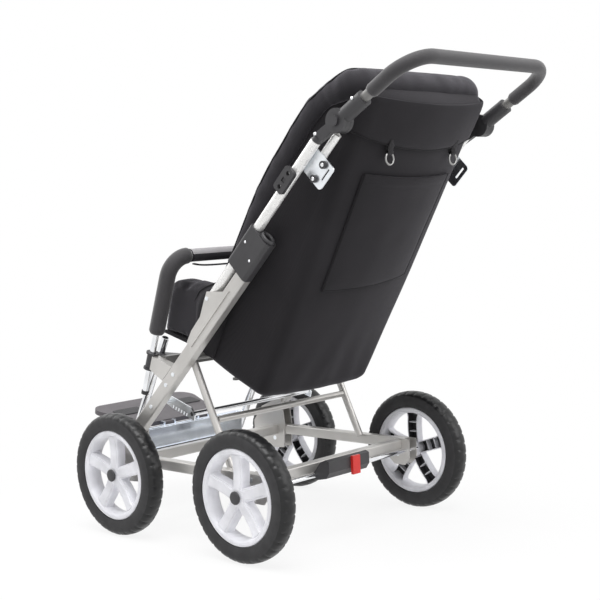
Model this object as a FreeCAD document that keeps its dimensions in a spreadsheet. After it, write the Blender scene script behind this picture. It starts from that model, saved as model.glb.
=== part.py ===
"""Folding push chair for a child with special needs: frame, seat, handle and footrest.

Millimetres, +Z up, the chair faces -Y and its own left side is +X. The origin lies on
the ground under the middle of the overall length. Side-view points below are (y, z)
pairs with y counted from the middle of the wheelbase.
"""

import FreeCAD
import Part
import math
import os

from FreeCAD import Placement, Rotation, Vector

SIZES = {
    # wheels and axles
    "tyre_radius": 150.0,
    "tyre_width": 50.0,
    "tyre_seat": 110.0,
    "tyre_shoulder": 16.0,
    "rim_width": 44.0,
    "rim_ring": 18.0,
    "rim_web": 10.0,
    "hub_radius": 23.0,
    "spoke_width": 34.0,
    "spoke_depth": 24.0,
    "spoke_ridge": 8.0,
    "spoke_count": 5.0,
    "bush_radius": 10.0,
    "bush_end": 0.5,
    "axle_radius": 6.0,
    "turn_fit": 0.05,
    "cap_radius": 15.0,
    "cap_depth": 4.5,
    "wheel_centre_x": 312.5,
    "wheelbase": 435.0,
    "wheelbase_middle_y": -93.0,
    # lower frame
    "frame_x": 252.5,
    "frame_width": 25.0,
    "wall": 2.0,
    "corner": 4.0,
    "rail_height": 26.0,
    "rail_length": 497.0,
    "rail_front_y": -262.0,
    "rail_centre_z": 176.0,
    "cross_tube_z": 174.0,
    "main_depth": 34.0,
    "main_length": 612.0,
    "main_angle": 43.9,
    "main_top_y": 192.0,
    "main_top_z": 634.0,
    "plate": 3.0,
    "brace_radius": 9.0,
    "brace_length": 262.0,
    "brace_foot_y": 99.0,
    "brace_foot_z": 186.0,
    "brace_angle": 114.6,
    "stay_radius": 8.0,
    "stay_reach": 118.0,
    "rivet_radius": 5.0,
    "rivet_head": 1.6,
    "bolt_radius": 4.0,
    # seat carrier
    "seat_tube_y": -113.0,
    "seat_tube_z": 424.0,
    "seat_tube_height": 27.0,
    "seat_tube_depth": 22.0,
    "seat_rear_radius": 9.0,
    "arm_width": 22.0,
    "arm_low_z": 382.0,
    "arm_high_z": 418.0,
    "post_x": 120.0,
    "post_size": 20.0,
    "board_front_y": -145.0,
    "board_front_z": 490.0,
    "board_length": 192.0,
    "board_half": 204.0,
    "board_thickness": 8.0,
    "seat_slope": 15.5,
    "stem_radius": 4.0,
    "stem_length": 62.0,
    "stem_foot_radius": 9.0,
    "stem_foot_depth": 6.0,
    # folding upper frame
    "pivot_y": 83.6,
    "pivot_z": 583.3,
    "upper_radius": 12.0,
    "upper_angle": 44.3,
    "upper_length": 496.0,
    "upper_tail": 16.0,
    "sleeve_start": 113.8,
    "sleeve_length": 112.0,
    "sleeve_width": 31.0,
    "sleeve_front": 14.5,
    "sleeve_rear": 58.0,
    "sleeve_round": 9.0,
    "socket_width": 14.0,
    "socket_depth": 26.0,
    "socket_bottom": 104.0,
    "clip_start": 338.0,
    "clip_length": 62.0,
    "clip_depth": 32.0,
    "clip_thickness": 9.0,
    "clip_bore": 5.0,
    "clip_square": 11.0,
    "clip_recess": 2.5,
    "clip_round": 7.0,
    # handle
    "hinge_y": 494.5,
    "hinge_z": 955.0,
    "hinge_radius": 26.0,
    "hinge_width": 30.0,
    "hinge_tongue": 12.0,
    "hinge_pin": 6.0,
    "hinge_gap": 0.4,
    "neck_lift": 4.0,
    "button_radius": 11.0,
    "button_fit": 0.05,
    "button_length": 9.0,
    "button_pocket": 7.5,
    "socket_wall": 6.5,
    "handle_angle": 30.5,
    "handle_radius": 11.0,
    "handle_reach": 223.0,
    "handle_start": 34.0,
    "handle_bend": 72.0,
    "grip_radius": 15.0,
    "grip_start": 100.0,
    # bumper bar
    "bumper_radius": 7.5,
    "bumper_angle": 69.6,
    "bumper_foot_y": -172.0,
    "bumper_foot_z": 352.0,
    "bumper_top_z": 679.0,
    "bumper_bend": 50.0,
    "foam_radius": 19.5,
    "foam_start": 152.0,
    "cover_radius": 16.5,
    "bumper_cap_radius": 9.0,
    "bumper_cap_depth": 9.0,
    "clamp_radius": 12.0,
    "clamp_length": 44.0,
    "clamp_flange": 15.5,
    "clamp_flange_depth": 4.0,
    "clamp_centre": 80.0,
    "slide_fit": 0.08,
    # footrest
    "hanger_x": 195.0,
    "hanger_radius": 10.0,
    "hanger_angle": 61.7,
    "hanger_length": 336.0,
    "hanger_foot_y": -313.5,
    "hanger_foot_z": 181.0,
    "hanger_clamp_width": 34.0,
    "hanger_clamp_reach": 22.0,
    "beam_depth": 18.0,
    "beam_height": 57.0,
    "beam_bottom_z": 172.0,
    "strip_depth": 3.5,
    "footplate_half": 184.0,
    "footplate_rear_half": 124.0,
    "footplate_length": 186.0,
    "footplate_thickness": 12.0,
    "footplate_corner": 38.0,
    "footplate_tilt": 10.5,
    "footplate_gap": 10.0,
    "foot_pin_radius": 3.0,
    "foot_barrel_radius": 6.0,
    "foot_barrel_length": 30.0,
    "foot_hinge_x": 60.0,
    "foot_lug": 6.0,
    "foot_pin_height": 0.0,
    "foot_pin_ahead": 8.0,
    "foot_lug_drop": 21.0,
    "strap_x": 98.0,
    "strap_width": 44.0,
    "strap_span": 88.0,
    "strap_thickness": 2.5,
    "strap_ahead": 92.0,
    # tilt rack
    "rack_x": 207.0,
    "rack_plate": 4.0,
    "rack_pivot_y": -134.0,
    "rack_pivot_z": 322.0,
    "rack_length": 84.0,
    "rack_height": 27.0,
    "rack_angle": 18.0,
    "rack_tooth": 5.0,
    "rack_tooth_depth": 9.0,
    "rack_teeth": 6.0,
    "rack_rod_radius": 6.0,
    # brake
    "brake_behind": 25.5,
    "brake_z": 160.0,
    "brake_radius": 5.0,
    "brake_end_x": 282.0,
    "pedal_right": 48.0,
    "pedal_length": 144.0,
    "pedal_reach": 40.0,
    "pedal_rise": 38.0,
    "pedal_drop": 9.0,
    "tab_half": 13.0,
    "tab_middle": 6.0,
    "tab_height": 44.0,
    "tab_thickness": 7.0,
    # seat and back upholstery
    "seat_pad_half": 154.0,
    "seat_pad_length": 262.0,
    "seat_pad_thickness": 56.0,
    "seat_wing_thickness": 38.0,
    "soft_gap": 0.4,
    "back_foot_y": 158.0,
    "back_foot_z": 354.0,
    "back_lean": 29.8,
    "back_split": 287.0,
    "back_top": 772.0,
    "back_pad_half": 198.0,
    "back_pad_thickness": 46.0,
    "back_pad_forward": 4.0,
    "lower_pad_start": 120.0,
    "back_wing_inner": 198.3,
    "back_wing_outer": 219.2,
    "cover_half": 198.0,
    "cover_sag": 36.0,
    "cover_thickness": 5.0,
    "cover_top": 742.0,
    "flap_start": 656.0,
    "flap_half_low": 197.0,
    "flap_half_top": 197.5,
    "flap_thickness": 5.0,
    "pocket_start": 300.0,
    "pocket_end": 582.0,
    "pocket_half_low": 140.0,
    "pocket_half_top": 150.0,
    "pocket_thickness": 7.0,
    "ring_x": 113.0,
    "ring_radius": 13.0,
    "ring_wire": 2.2,
    "ring_hook": 640.0,
    "ring_stand_off": 7.0,
    "tab_width": 24.0,
    "tab_cloth": 2.4,
    "tab_length": 14.0,
    # back carrier
    "back_tube_radius": 9.0,
    "back_tube_start": 406.0,
    "back_tube_length": 110.0,
    "back_tube_behind": 20.0,
    "recline_start": 402.0,
    "recline_length": 62.0,
    "recline_depth": 78.0,
    "recline_slot": 5.0,
    "recline_round": 8.0,
    "knob_behind": 42.0,
    "knob_radius": 8.5,
    "knob_depth": 6.0,
}

doc = FreeCAD.newDocument("PushChair")
sheet = doc.addObject("Spreadsheet::Sheet", "Sizes")
for row, (alias, number) in enumerate(SIZES.items(), start=1):
    sheet.set(f"A{row}", alias)
    sheet.set(f"B{row}", str(number))
    sheet.setAlias(f"B{row}", alias)
doc.recompute()

SIDES = (("left", 1), ("right", -1))
X_AXIS = Vector(1, 0, 0)
Z_AXIS = Vector(0, 0, 1)
nodes = []


def size(alias):
    """The number in the sheet's cell of this name."""
    return float(sheet.get(alias))


def bind(obj, **properties):
    """Tie properties to cells, or to sums of cells written with the sheet's name."""
    for name, source in properties.items():
        obj.setExpression(name, f"Sizes.{source}" if source in SIZES else source)


def node(obj, label):
    """Hand an object on as a sub-part under its own label."""
    obj.Label = label
    nodes.append(obj)
    return obj


def point(x, y, z):
    """A point of the part from a side-view place counted from the wheelbase's middle."""
    return Vector(x, y + size("wheelbase_middle_y"), z)


def slope(degrees):
    """The direction in the side view that rises by this angle from straight back."""
    angle = math.radians(degrees)
    return Vector(0, math.cos(angle), math.sin(angle))


def turned(direction):
    """The rotation that points local Z along a direction and keeps local X level."""
    if abs(direction.x) > 0.9 * direction.Length:
        return Rotation(Vector(0, 1, 0), Vector(), direction, "ZXY")
    return Rotation(X_AXIS, Vector(), direction, "ZXY")


def box(name, length, width, height, place):
    """A block with its own corner at the placement."""
    obj = doc.addObject("Part::Box", name)
    bind(obj, Length=length, Width=width, Height=height)
    obj.Placement = place
    return obj


def bar(name, width, depth, length, start, direction):
    """A block centred on a line, with its width along X."""
    doc.recompute()
    obj = box(name, width, depth, length, Placement())
    doc.recompute()
    turn = turned(direction)
    half = turn.multVec(Vector(-obj.Length.Value / 2, -obj.Width.Value / 2, 0))
    obj.Placement = Placement(start + half, turn)
    return obj


def rod(name, radius, length, start, direction):
    """A round bar from a point along a direction."""
    obj = doc.addObject("Part::Cylinder", name)
    bind(obj, Radius=radius, Height=length)
    obj.Placement = Placement(start, turned(direction))
    return obj


def cut(name, base, *tools):
    """The base less its tools."""
    for count, tool in enumerate(tools):
        obj = doc.addObject("Part::Cut", f"{name}_cut{count}")
        obj.Base = base
        obj.Tool = tool
        base = obj
    return base


def fuse(name, *parts):
    """Several pieces joined into one solid."""
    obj = doc.addObject("Part::MultiFuse", name)
    obj.Shapes = list(parts)
    return obj


def group(label, parts):
    """Separate solids kept as one sub-part."""
    obj = doc.addObject("Part::Compound", label)
    obj.Links = list(parts)
    return node(obj, label)


def round_edges(name, base, radius, keep):
    """Round the edges that a test picks."""
    doc.recompute()
    obj = doc.addObject("Part::Fillet", name)
    obj.Base = base
    edges = enumerate(base.Shape.Edges, start=1)
    obj.Edges = [(index, radius, radius) for index, edge in edges if keep(edge)]
    return obj


def runs_along(direction):
    """A test for straight edges that lie along a direction."""
    def test(edge):
        if not isinstance(edge.Curve, Part.Line):
            return False
        return abs(abs(edge.tangentAt(edge.FirstParameter).dot(direction)) - 1) < 1e-6
    return test


def tube(name, radius, wall, length, start, direction):
    """A round tube."""
    outer = rod(f"{name}_outer", radius, length, start, direction)
    inner = rod(f"{name}_inner", f"Sizes.{radius} - Sizes.{wall}", length, start, direction)
    return cut(name, outer, inner)


def flat_tube(name, depth, length, start, direction):
    """A rectangular tube of the frame's width, with rounded corners."""
    outer = bar(f"{name}_outer", "frame_width", depth, length, start, direction)
    outer = round_edges(f"{name}_round", outer, size("corner"), runs_along(direction))
    inside = "Sizes.frame_width - 2 * Sizes.wall"
    depth_inside = f"Sizes.{depth} - 2 * Sizes.wall"
    inner = bar(f"{name}_inner", inside, depth_inside, length, start, direction)
    return cut(name, outer, inner)


def plate(name, outline, x, thickness):
    """A flat plate from a side-view outline, growing from x along +X."""
    polygon = doc.addObject("Part::Polygon", f"{name}_outline")
    polygon.Nodes = [point(x, y, z) for y, z in outline]
    polygon.Close = True
    obj = doc.addObject("Part::Extrusion", name)
    obj.Base = polygon
    obj.DirMode = "Custom"
    obj.Dir = X_AXIS
    bind(obj, LengthFwd=thickness)
    obj.Solid = True
    return obj


def bent_path(points, radius, closed=False):
    """Straight runs joined by arcs of one radius that touch both runs."""
    count = len(points)
    corners = range(count) if closed else range(1, count - 1)
    edges = []
    arcs = {}
    for index in corners:
        corner = points[index]
        back = (points[index - 1] - corner).normalize()
        ahead = (points[(index + 1) % count] - corner).normalize()
        half = back.getAngle(ahead) / 2
        reach = radius / math.tan(half)
        middle = (back + ahead).normalize() * (radius / math.sin(half) - radius)
        arcs[index] = (corner + back * reach, corner + middle, corner + ahead * reach)
    for index in range(count if closed else count - 1):
        after = (index + 1) % count
        begin = arcs[index][2] if index in arcs else points[index]
        end = arcs[after][0] if after in arcs else points[after]
        if begin.distanceToPoint(end) > 1e-6:
            edges.append(Part.LineSegment(begin, end).toShape())
        if after in arcs:
            edges.append(Part.Arc(*arcs[after]).toShape())
    return Part.Wire(edges)


def swept(name, radius, points, bend):
    """A round bar bent along a route."""
    path = doc.addObject("Part::Feature", f"{name}_path")
    path.Shape = bent_path(points, bend)
    ring = doc.addObject("Part::Circle", f"{name}_ring")
    bind(ring, Radius=radius)
    ring.Placement = Placement(points[0], turned(points[1] - points[0]))
    obj = doc.addObject("Part::Sweep", name)
    obj.Sections = [ring]
    obj.Spine = (path, [f"Edge{n + 1}" for n in range(len(path.Shape.Edges))])
    obj.Solid = True
    return obj


def swept_tube(name, radius, inside, points, bend):
    """A round tube bent along a route, with its inner radius as a cell or a sum."""
    outer = swept(f"{name}_outer", radius, points, bend)
    return cut(name, outer, swept(f"{name}_inner", inside, points, bend))


def inset(outline, amount):
    """A flat outline with every side moved inwards."""
    count = len(outline)
    area = sum(a[0] * b[1] - b[0] * a[1] for a, b in zip(outline, outline[1:] + outline[:1]))
    amount = amount if area > 0 else -amount
    lines = []
    for (ax, ay), (bx, by) in zip(outline, outline[1:] + outline[:1]):
        run = math.hypot(bx - ax, by - ay)
        ux, uy = (bx - ax) / run, (by - ay) / run
        lines.append((ax - uy * amount, ay + ux * amount, ux, uy))
    moved = []
    for index in range(count):
        px, py, ux, uy = lines[index - 1]
        qx, qy, vx, vy = lines[index]
        along = ((qx - px) * vy - (qy - py) * vx) / (ux * vy - uy * vx)
        moved.append((px + ux * along, py + uy * along))
    return moved


# how far a cushion's outline draws in at each level of its thickness
CUSHION_LEVELS = ((0.0, 1.0), (0.1, 0.42), (0.3, 0.08), (0.5, 0.0), (0.7, 0.08), (0.9, 0.42), (1.0, 1.0))


def cushion(name, outline, corner, draw, thickness, spread):
    """A stuffed pad: its outline swells at half thickness and draws in at both faces.

    spread turns an outline point and a height into a place on the part.
    """
    sections = []
    for level, share in CUSHION_LEVELS:
        flat = inset(outline, draw * share)
        sections.append(bent_path([spread(a, b, level * thickness) for a, b in flat], corner, True))
    obj = doc.addObject("Part::Feature", name)
    obj.Shape = Part.makeLoft(sections, True, False)
    return obj


def back_point(x, up, forward):
    """A place on the leaning back: up along it from its foot and forward of its plane."""
    lean = math.radians(size("back_lean"))
    y = size("back_foot_y") + up * math.sin(lean) - forward * math.cos(lean)
    z = size("back_foot_z") + up * math.cos(lean) + forward * math.sin(lean)
    return point(x, y, z)


def sagging_panel(name, low, high, thickness, forward):
    """A cloth panel across the back that bows rearwards between its two edges.

    low and high are (half width, height) at its lower and upper edges.
    """
    bow = (size("cover_half") ** 2 + size("cover_sag") ** 2) / (2 * size("cover_sag"))
    sections = []
    for half, up in (low, high):
        rims = []
        for offset in (0.0, -thickness):
            edge = bow - math.sqrt(bow ** 2 - half ** 2) - size("cover_sag") + forward + offset
            middle = forward - size("cover_sag") + offset
            rims.append([back_point(-half, up, edge), back_point(0, up, middle), back_point(half, up, edge)])
        front, rear = rims
        sections.append(Part.Wire([
            Part.Arc(*front).toShape(),
            Part.LineSegment(front[2], rear[2]).toShape(),
            Part.Arc(rear[2], rear[1], rear[0]).toShape(),
            Part.LineSegment(rear[0], front[0]).toShape(),
        ]))
    obj = doc.addObject("Part::Feature", name)
    obj.Shape = Part.makeLoft(sections, True, True)
    return obj


# Values that several sub-parts share
FRAME_X = size("frame_x")
HALF_WIDTH = size("frame_width") / 2
INNER_X = FRAME_X - HALF_WIDTH
OUTER_X = FRAME_X + HALF_WIDTH
PLATE = size("plate")
AXLE_Y = size("wheelbase") / 2
AXLE_Z = size("tyre_radius")
BRAKE_Y = AXLE_Y + size("brake_behind")
MAIN_RUN = slope(size("main_angle"))
MAIN_TOP = point(0, size("main_top_y"), size("main_top_z"))
MAIN_FRONT = Vector(0, -MAIN_RUN.z, MAIN_RUN.y)
UPPER_RUN = slope(size("upper_angle"))
UPPER_BACK = Vector(0, UPPER_RUN.z, -UPPER_RUN.y)
PIVOT = point(0, size("pivot_y"), size("pivot_z"))
HINGE = point(0, size("hinge_y"), size("hinge_z"))
HANDLE_RUN = slope(size("handle_angle"))
BUMPER_RUN = slope(size("bumper_angle"))
BUMPER_FOOT = point(0, size("bumper_foot_y"), size("bumper_foot_z"))
HANGER_RUN = slope(size("hanger_angle"))
HANGER_FOOT = point(0, size("hanger_foot_y"), size("hanger_foot_z"))
BACK_RUN = slope(90 - size("back_lean"))


def on_main_front(z):
    """The side-view place on the main tube's front face at a height."""
    face = MAIN_TOP + MAIN_FRONT * (size("main_depth") / 2)
    y = face.y - (face.z - z) * MAIN_RUN.y / MAIN_RUN.z
    return (y - size("wheelbase_middle_y"), z)


def on_main(down):
    """The side-view place on the main tube's centre line, this far from its top end."""
    place = MAIN_TOP - MAIN_RUN * down
    return (place.y - size("wheelbase_middle_y"), place.z)


def build_wheels():
    """Four equal wheels: a tyre on a spoked plastic rim that turns on its axle's bush."""
    for place, y in (("front", -AXLE_Y), ("rear", AXLE_Y)):
        for side, sign in SIDES:
            build_wheel(f"{place}_{side}", sign, y)


def build_wheel(name, sign, y):
    """One wheel, with its outer face towards the side that sign gives."""
    out = X_AXIS * sign
    centre = point(sign * size("wheel_centre_x"), y, AXLE_Z)
    tyre_start = centre - out * (size("tyre_width") / 2)
    rim_start = centre - out * (size("rim_width") / 2)
    band = rod(f"tyre_{name}_band", "tyre_radius", "tyre_width", tyre_start, out)
    crowned = round_edges(f"tyre_{name}_crown", band, size("tyre_shoulder"), is_circle)
    bore = rod(f"tyre_{name}_bore", "tyre_seat", "tyre_width", tyre_start, out)
    node(cut(f"tyre_{name}", crowned, bore), f"tyre_{name}")
    rim_inside = "Sizes.tyre_seat - Sizes.rim_ring"
    ring = rod(f"rim_{name}_ring", "tyre_seat", "rim_width", rim_start, out)
    hollow = rod(f"rim_{name}_hollow", rim_inside, "rim_width", rim_start, out)
    ring = cut(f"rim_{name}_band", ring, hollow)
    parts = [ring, rod(f"rim_{name}_hub", "hub_radius", "rim_width", rim_start, out)]
    reach = "Sizes.tyre_seat - Sizes.rim_ring / 2"
    web_start = centre + out * (size("rim_width") / 2 - size("spoke_depth"))
    ridge_start = centre + out * (size("rim_width") / 2 - size("spoke_depth") - size("spoke_ridge"))
    count = int(size("spoke_count"))
    for index in range(count):
        turn = Rotation(X_AXIS, 90 + 360 * index / count)
        for part, width, depth, start in (
            ("spoke", "spoke_width", "spoke_depth", web_start),
            ("rib", "rim_web", "spoke_ridge", ridge_start),
        ):
            spoke = box(f"rim_{name}_{part}{index}", depth, reach, width, Placement())
            doc.recompute()
            shift = Vector(-spoke.Length.Value if sign < 0 else 0, 0, -spoke.Height.Value / 2)
            spoke.Placement = Placement(start + turn.multVec(shift), turn)
            parts.append(spoke)
    blank = fuse(f"rim_{name}_blank", *parts)
    bush = "Sizes.bush_radius + Sizes.turn_fit"
    bore = rod(f"rim_{name}_bore", bush, "rim_width", rim_start, out)
    node(cut(f"rim_{name}", blank, bore), f"rim_{name}")


def is_circle(edge):
    """A test for whole round edges."""
    return isinstance(edge.Curve, Part.Circle)


def build_axles():
    """Stub axles through the bracket plates, with bushes for the wheels and end caps."""
    axles, bushes, caps = [], [], []
    inner = INNER_X - PLATE
    rim_half = size("rim_width") / 2
    bush_start = size("wheel_centre_x") - rim_half - size("bush_end")
    bush_length = "Sizes.rim_width + 2 * Sizes.bush_end"
    cap_x = size("wheel_centre_x") + rim_half + size("bush_end")
    for place, y in (("front", -AXLE_Y), ("rear", AXLE_Y)):
        for side, sign in SIDES:
            name, out = f"{place}_{side}", X_AXIS * sign
            length = f"Sizes.wheel_centre_x + Sizes.rim_width / 2 + Sizes.bush_end - {inner}"
            axles.append(rod(f"axle_{name}", "axle_radius", length, point(sign * inner, y, AXLE_Z), out))
            start = point(sign * bush_start, y, AXLE_Z)
            sleeve = rod(f"bush_{name}_outer", "bush_radius", bush_length, start, out)
            bore = rod(f"bush_{name}_bore", "axle_radius", bush_length, start, out)
            bushes.append(cut(f"bush_{name}", sleeve, bore))
            cap = rod(f"cap_{name}_disc", "cap_radius", "cap_depth", point(sign * cap_x, y, AXLE_Z), out)
            doc.recompute()
            outer = point(sign * (cap_x + size("cap_depth")), y, AXLE_Z)
            dome = round_edges(f"cap_{name}", cap, size("cap_depth") * 0.7, lies_at(outer))
            caps.append(dome)
    group("wheel_axles", axles + bushes)
    group("axle_caps", caps)


def lies_at(place):
    """A test for round edges whose centre is at a place."""
    def test(edge):
        return isinstance(edge.Curve, Part.Circle) and edge.Curve.Center.distanceToPoint(place) < 1e-6
    return test


def build_lower_frame():
    """Main tubes, side rails, cross tubes, braces and the plates that join them."""
    mains, rails = [], []
    for side, sign in SIDES:
        low = MAIN_TOP - MAIN_RUN * size("main_length") + X_AXIS * (sign * FRAME_X)
        mains.append(flat_tube(f"main_{side}", "main_depth", "main_length", low, MAIN_RUN))
        front = point(sign * FRAME_X, size("rail_front_y"), size("rail_centre_z"))
        rails.append(flat_tube(f"rail_{side}", "rail_height", "rail_length", front, Vector(0, 1, 0)))
    group("main_tubes", mains)
    group("side_rails", rails)
    span = "2 * (Sizes.frame_x - Sizes.frame_width / 2 - Sizes.plate)"
    for name, y in (("front_cross_tube", -AXLE_Y), ("rear_cross_tube", AXLE_Y)):
        start = point(PLATE - INNER_X, y, size("cross_tube_z"))
        node(flat_tube(name, "rail_height", span, start, X_AXIS), name)
    build_braces()
    build_brackets()
    build_gussets()
    build_rivets()


def build_braces():
    """Round struts from the side rails up to the main tubes, with a stay between them."""
    run = slope(size("brace_angle"))
    brace_x = INNER_X - size("brace_radius")
    parts = []
    for side, sign in SIDES:
        start = point(sign * brace_x, size("brace_foot_y"), size("brace_foot_z"))
        parts.append(tube(f"brace_{side}", "brace_radius", "wall", "brace_length", start, run))
    foot = point(0, size("brace_foot_y"), size("brace_foot_z"))
    middle = foot + run * size("stay_reach")
    reach = brace_x - size("brace_radius")
    span = "2 * (Sizes.frame_x - Sizes.frame_width / 2 - 2 * Sizes.brace_radius)"
    stay = tube("brace_stay", "stay_radius", "wall", span, middle - X_AXIS * reach, X_AXIS)
    group("braces", parts + [stay])


def build_brackets():
    """Plate pairs that carry the axles: at the main tube's foot and at the rail's rear end."""
    rail_top = size("rail_centre_z") + size("rail_height") / 2
    rail_low = size("rail_centre_z") - size("rail_height") / 2
    front_y = size("rail_front_y")
    front = [
        (front_y - 34, rail_low - 14), (front_y - 34, rail_top + 4), (front_y - 2, rail_top + 46),
        on_main(size("main_length") - 84), (-AXLE_Y + 40, rail_top), (-AXLE_Y + 34, AXLE_Z - 24),
        (-AXLE_Y - 12, AXLE_Z - 28),
    ]
    rear_y = front_y + size("rail_length")
    rear = [
        (AXLE_Y - 30, rail_top), (AXLE_Y - 30, AXLE_Z - 8), (AXLE_Y - 12, AXLE_Z - 27),
        (AXLE_Y + 22, AXLE_Z - 27), (rear_y + 20, AXLE_Z - 8), (rear_y + 20, rail_top),
    ]
    for name, outline, y in (("front_wheel_brackets", front, -AXLE_Y), ("rear_wheel_brackets", rear, AXLE_Y)):
        parts = []
        for side, sign in SIDES:
            for layer, x in (("outer", OUTER_X), ("inner", INNER_X - PLATE)):
                low = x if sign > 0 else -x - PLATE
                blank = plate(f"{name}_{side}_{layer}_blank", outline, low, "plate")
                holes = [rod(f"{name}_{side}_{layer}_bore", "axle_radius", "plate", point(low, y, AXLE_Z), X_AXIS)]
                if y > 0:
                    start = point(low, BRAKE_Y, size("brake_z"))
                    seat = "Sizes.brake_radius + Sizes.turn_fit"
                    holes.append(rod(f"{name}_{side}_{layer}_brake", seat, "plate", start, X_AXIS))
                parts.append(cut(f"{name}_{side}_{layer}", blank, *holes))
        group(name, parts)


def build_gussets():
    """Plates on both faces of each main tube that hold the fold's pivot bolt."""
    pivot_y, pivot_z = size("pivot_y"), size("pivot_z")
    low_y, low_z = on_main(size("main_top_z") - pivot_z + 188)
    high_y, high_z = on_main(size("main_top_z") - pivot_z - 2)
    outline = [
        (pivot_y, pivot_z + 16), (high_y, high_z), (low_y, low_z), on_main_front(low_z + 11),
        (pivot_y - 59, pivot_z - 76), (pivot_y - 27, pivot_z - 43), (pivot_y - 10, pivot_z - 4),
    ]
    parts = []
    for side, sign in SIDES:
        for layer, x in (("outer", OUTER_X), ("inner", INNER_X - PLATE)):
            low = x if sign > 0 else -x - PLATE
            blank = plate(f"gusset_{side}_{layer}_blank", outline, low, "plate")
            hole = rod(f"gusset_{side}_{layer}_hole", "bolt_radius", "plate", point(low, pivot_y, pivot_z), X_AXIS)
            parts.append(cut(f"gusset_{side}_{layer}", blank, hole))
    group("gusset_plates", parts)


def build_rivets():
    """Pivot bolts, rivet heads on the outer faces and the pins that carry the tilt rack."""
    heads, bolts = [], []
    spots = [
        ("low", OUTER_X + PLATE, on_main(size("main_length") - 52)),
        ("mid", OUTER_X, on_main(size("main_length") - 153)),
        ("high", OUTER_X, on_main(size("main_length") - 235)),
        ("arm", OUTER_X, on_main(size("main_length") - 274)),
        ("foot", OUTER_X + PLATE, (size("rail_front_y") + 12, size("rail_centre_z"))),
        ("back", OUTER_X + PLATE, (AXLE_Y - 16, size("rail_centre_z"))),
        ("tail", OUTER_X + PLATE, (AXLE_Y + 26, size("rail_centre_z"))),
        ("pivot", OUTER_X + PLATE, (size("pivot_y"), size("pivot_z"))),
    ]
    for side, sign in SIDES:
        out = X_AXIS * sign
        for spot, x, (y, z) in spots:
            heads.append(rod(f"rivet_{side}_{spot}", "rivet_radius", "rivet_head", point(sign * x, y, z), out))
        start = point(sign * (INNER_X - PLATE), size("pivot_y"), size("pivot_z"))
        bolts.append(rod(f"pivot_{side}", "bolt_radius", "Sizes.frame_width + 2 * Sizes.plate", start, out))
        pin_length = f"{INNER_X} - Sizes.rack_x + Sizes.rack_plate / 2"
        pin_start = point(sign * INNER_X, size("rack_pivot_y"), size("rack_pivot_z"))
        bolts.append(rod(f"rack_pin_{side}", "bolt_radius", pin_length, pin_start, out * -1))
    group("frame_rivets", heads + bolts)


def build_seat_carrier():
    """Arms and clamps on the main tubes, and the tubes, posts and board that carry the seat."""
    arms, clamps, hangers = [], [], []
    clamp_middle = BUMPER_FOOT + BUMPER_RUN * size("clamp_centre")
    behind = Vector(0, BUMPER_RUN.z, -BUMPER_RUN.y) * size("clamp_radius")
    half = BUMPER_RUN * (size("clamp_length") / 2 - size("clamp_flange_depth") - 1)
    shift = Vector(0, size("wheelbase_middle_y"), 0)
    front_high = clamp_middle + behind + half - shift
    front_low = clamp_middle + behind - half - shift
    outline = [
        on_main_front(size("arm_high_z")), on_main_front(size("arm_low_z")),
        (front_low.y, front_low.z), (front_high.y, front_high.z),
    ]
    for side, sign in SIDES:
        x = sign * FRAME_X - size("arm_width") / 2
        arms.append(plate(f"arm_{side}", outline, x, "arm_width"))
        middle = clamp_middle + X_AXIS * (sign * FRAME_X)
        start = middle - BUMPER_RUN * (size("clamp_length") / 2)
        end = middle + BUMPER_RUN * (size("clamp_length") / 2 - size("clamp_flange_depth"))
        body = rod(f"clamp_{side}_body", "clamp_radius", "clamp_length", start, BUMPER_RUN)
        low = rod(f"clamp_{side}_low", "clamp_flange", "clamp_flange_depth", start, BUMPER_RUN)
        high = rod(f"clamp_{side}_high", "clamp_flange", "clamp_flange_depth", end, BUMPER_RUN)
        blank = fuse(f"clamp_{side}_blank", body, low, high)
        seat = "Sizes.bumper_radius + Sizes.slide_fit"
        bore = rod(f"clamp_{side}_bore", seat, "clamp_length", start, BUMPER_RUN)
        clamps.append(cut(f"clamp_{side}", blank, bore))
        hangers.append(hanger_clamp(side, sign))
    group("front_arms", arms)
    group("bumper_clamps", clamps)
    group("hanger_clamps", hangers)
    build_seat_tubes()


def hanger_clamp(side, sign):
    """A block on the front of the seat tube that guides one footrest hanger."""
    face = size("seat_tube_y") - size("seat_tube_depth") / 2
    low = size("seat_tube_z") - size("seat_tube_height") / 2
    rise = (size("seat_tube_z") - size("hanger_foot_z")) / HANGER_RUN.z
    hanger_y = size("hanger_foot_y") + HANGER_RUN.y * rise
    length = f"{face} - ({hanger_y}) + Sizes.hanger_clamp_reach"
    x = sign * size("hanger_x") - size("hanger_clamp_width") / 2
    corner = point(x, hanger_y - size("hanger_clamp_reach"), low)
    block = box(f"hanger_clamp_{side}_block", "hanger_clamp_width", length, "seat_tube_height", Placement(corner, Rotation()))
    foot = HANGER_FOOT + X_AXIS * (sign * size("hanger_x"))
    seat = "Sizes.hanger_radius + Sizes.slide_fit"
    bore = rod(f"hanger_clamp_{side}_bore", seat, "hanger_length", foot, HANGER_RUN)
    return cut(f"hanger_clamp_{side}", block, bore)


def board_point(along, above):
    """The side-view place on the seat board, back from its front edge and above its underside."""
    angle = math.radians(size("seat_slope"))
    y = size("board_front_y") + along * math.cos(angle) + above * math.sin(angle)
    z = size("board_front_z") - along * math.sin(angle) + above * math.cos(angle)
    return (y, z)


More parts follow.
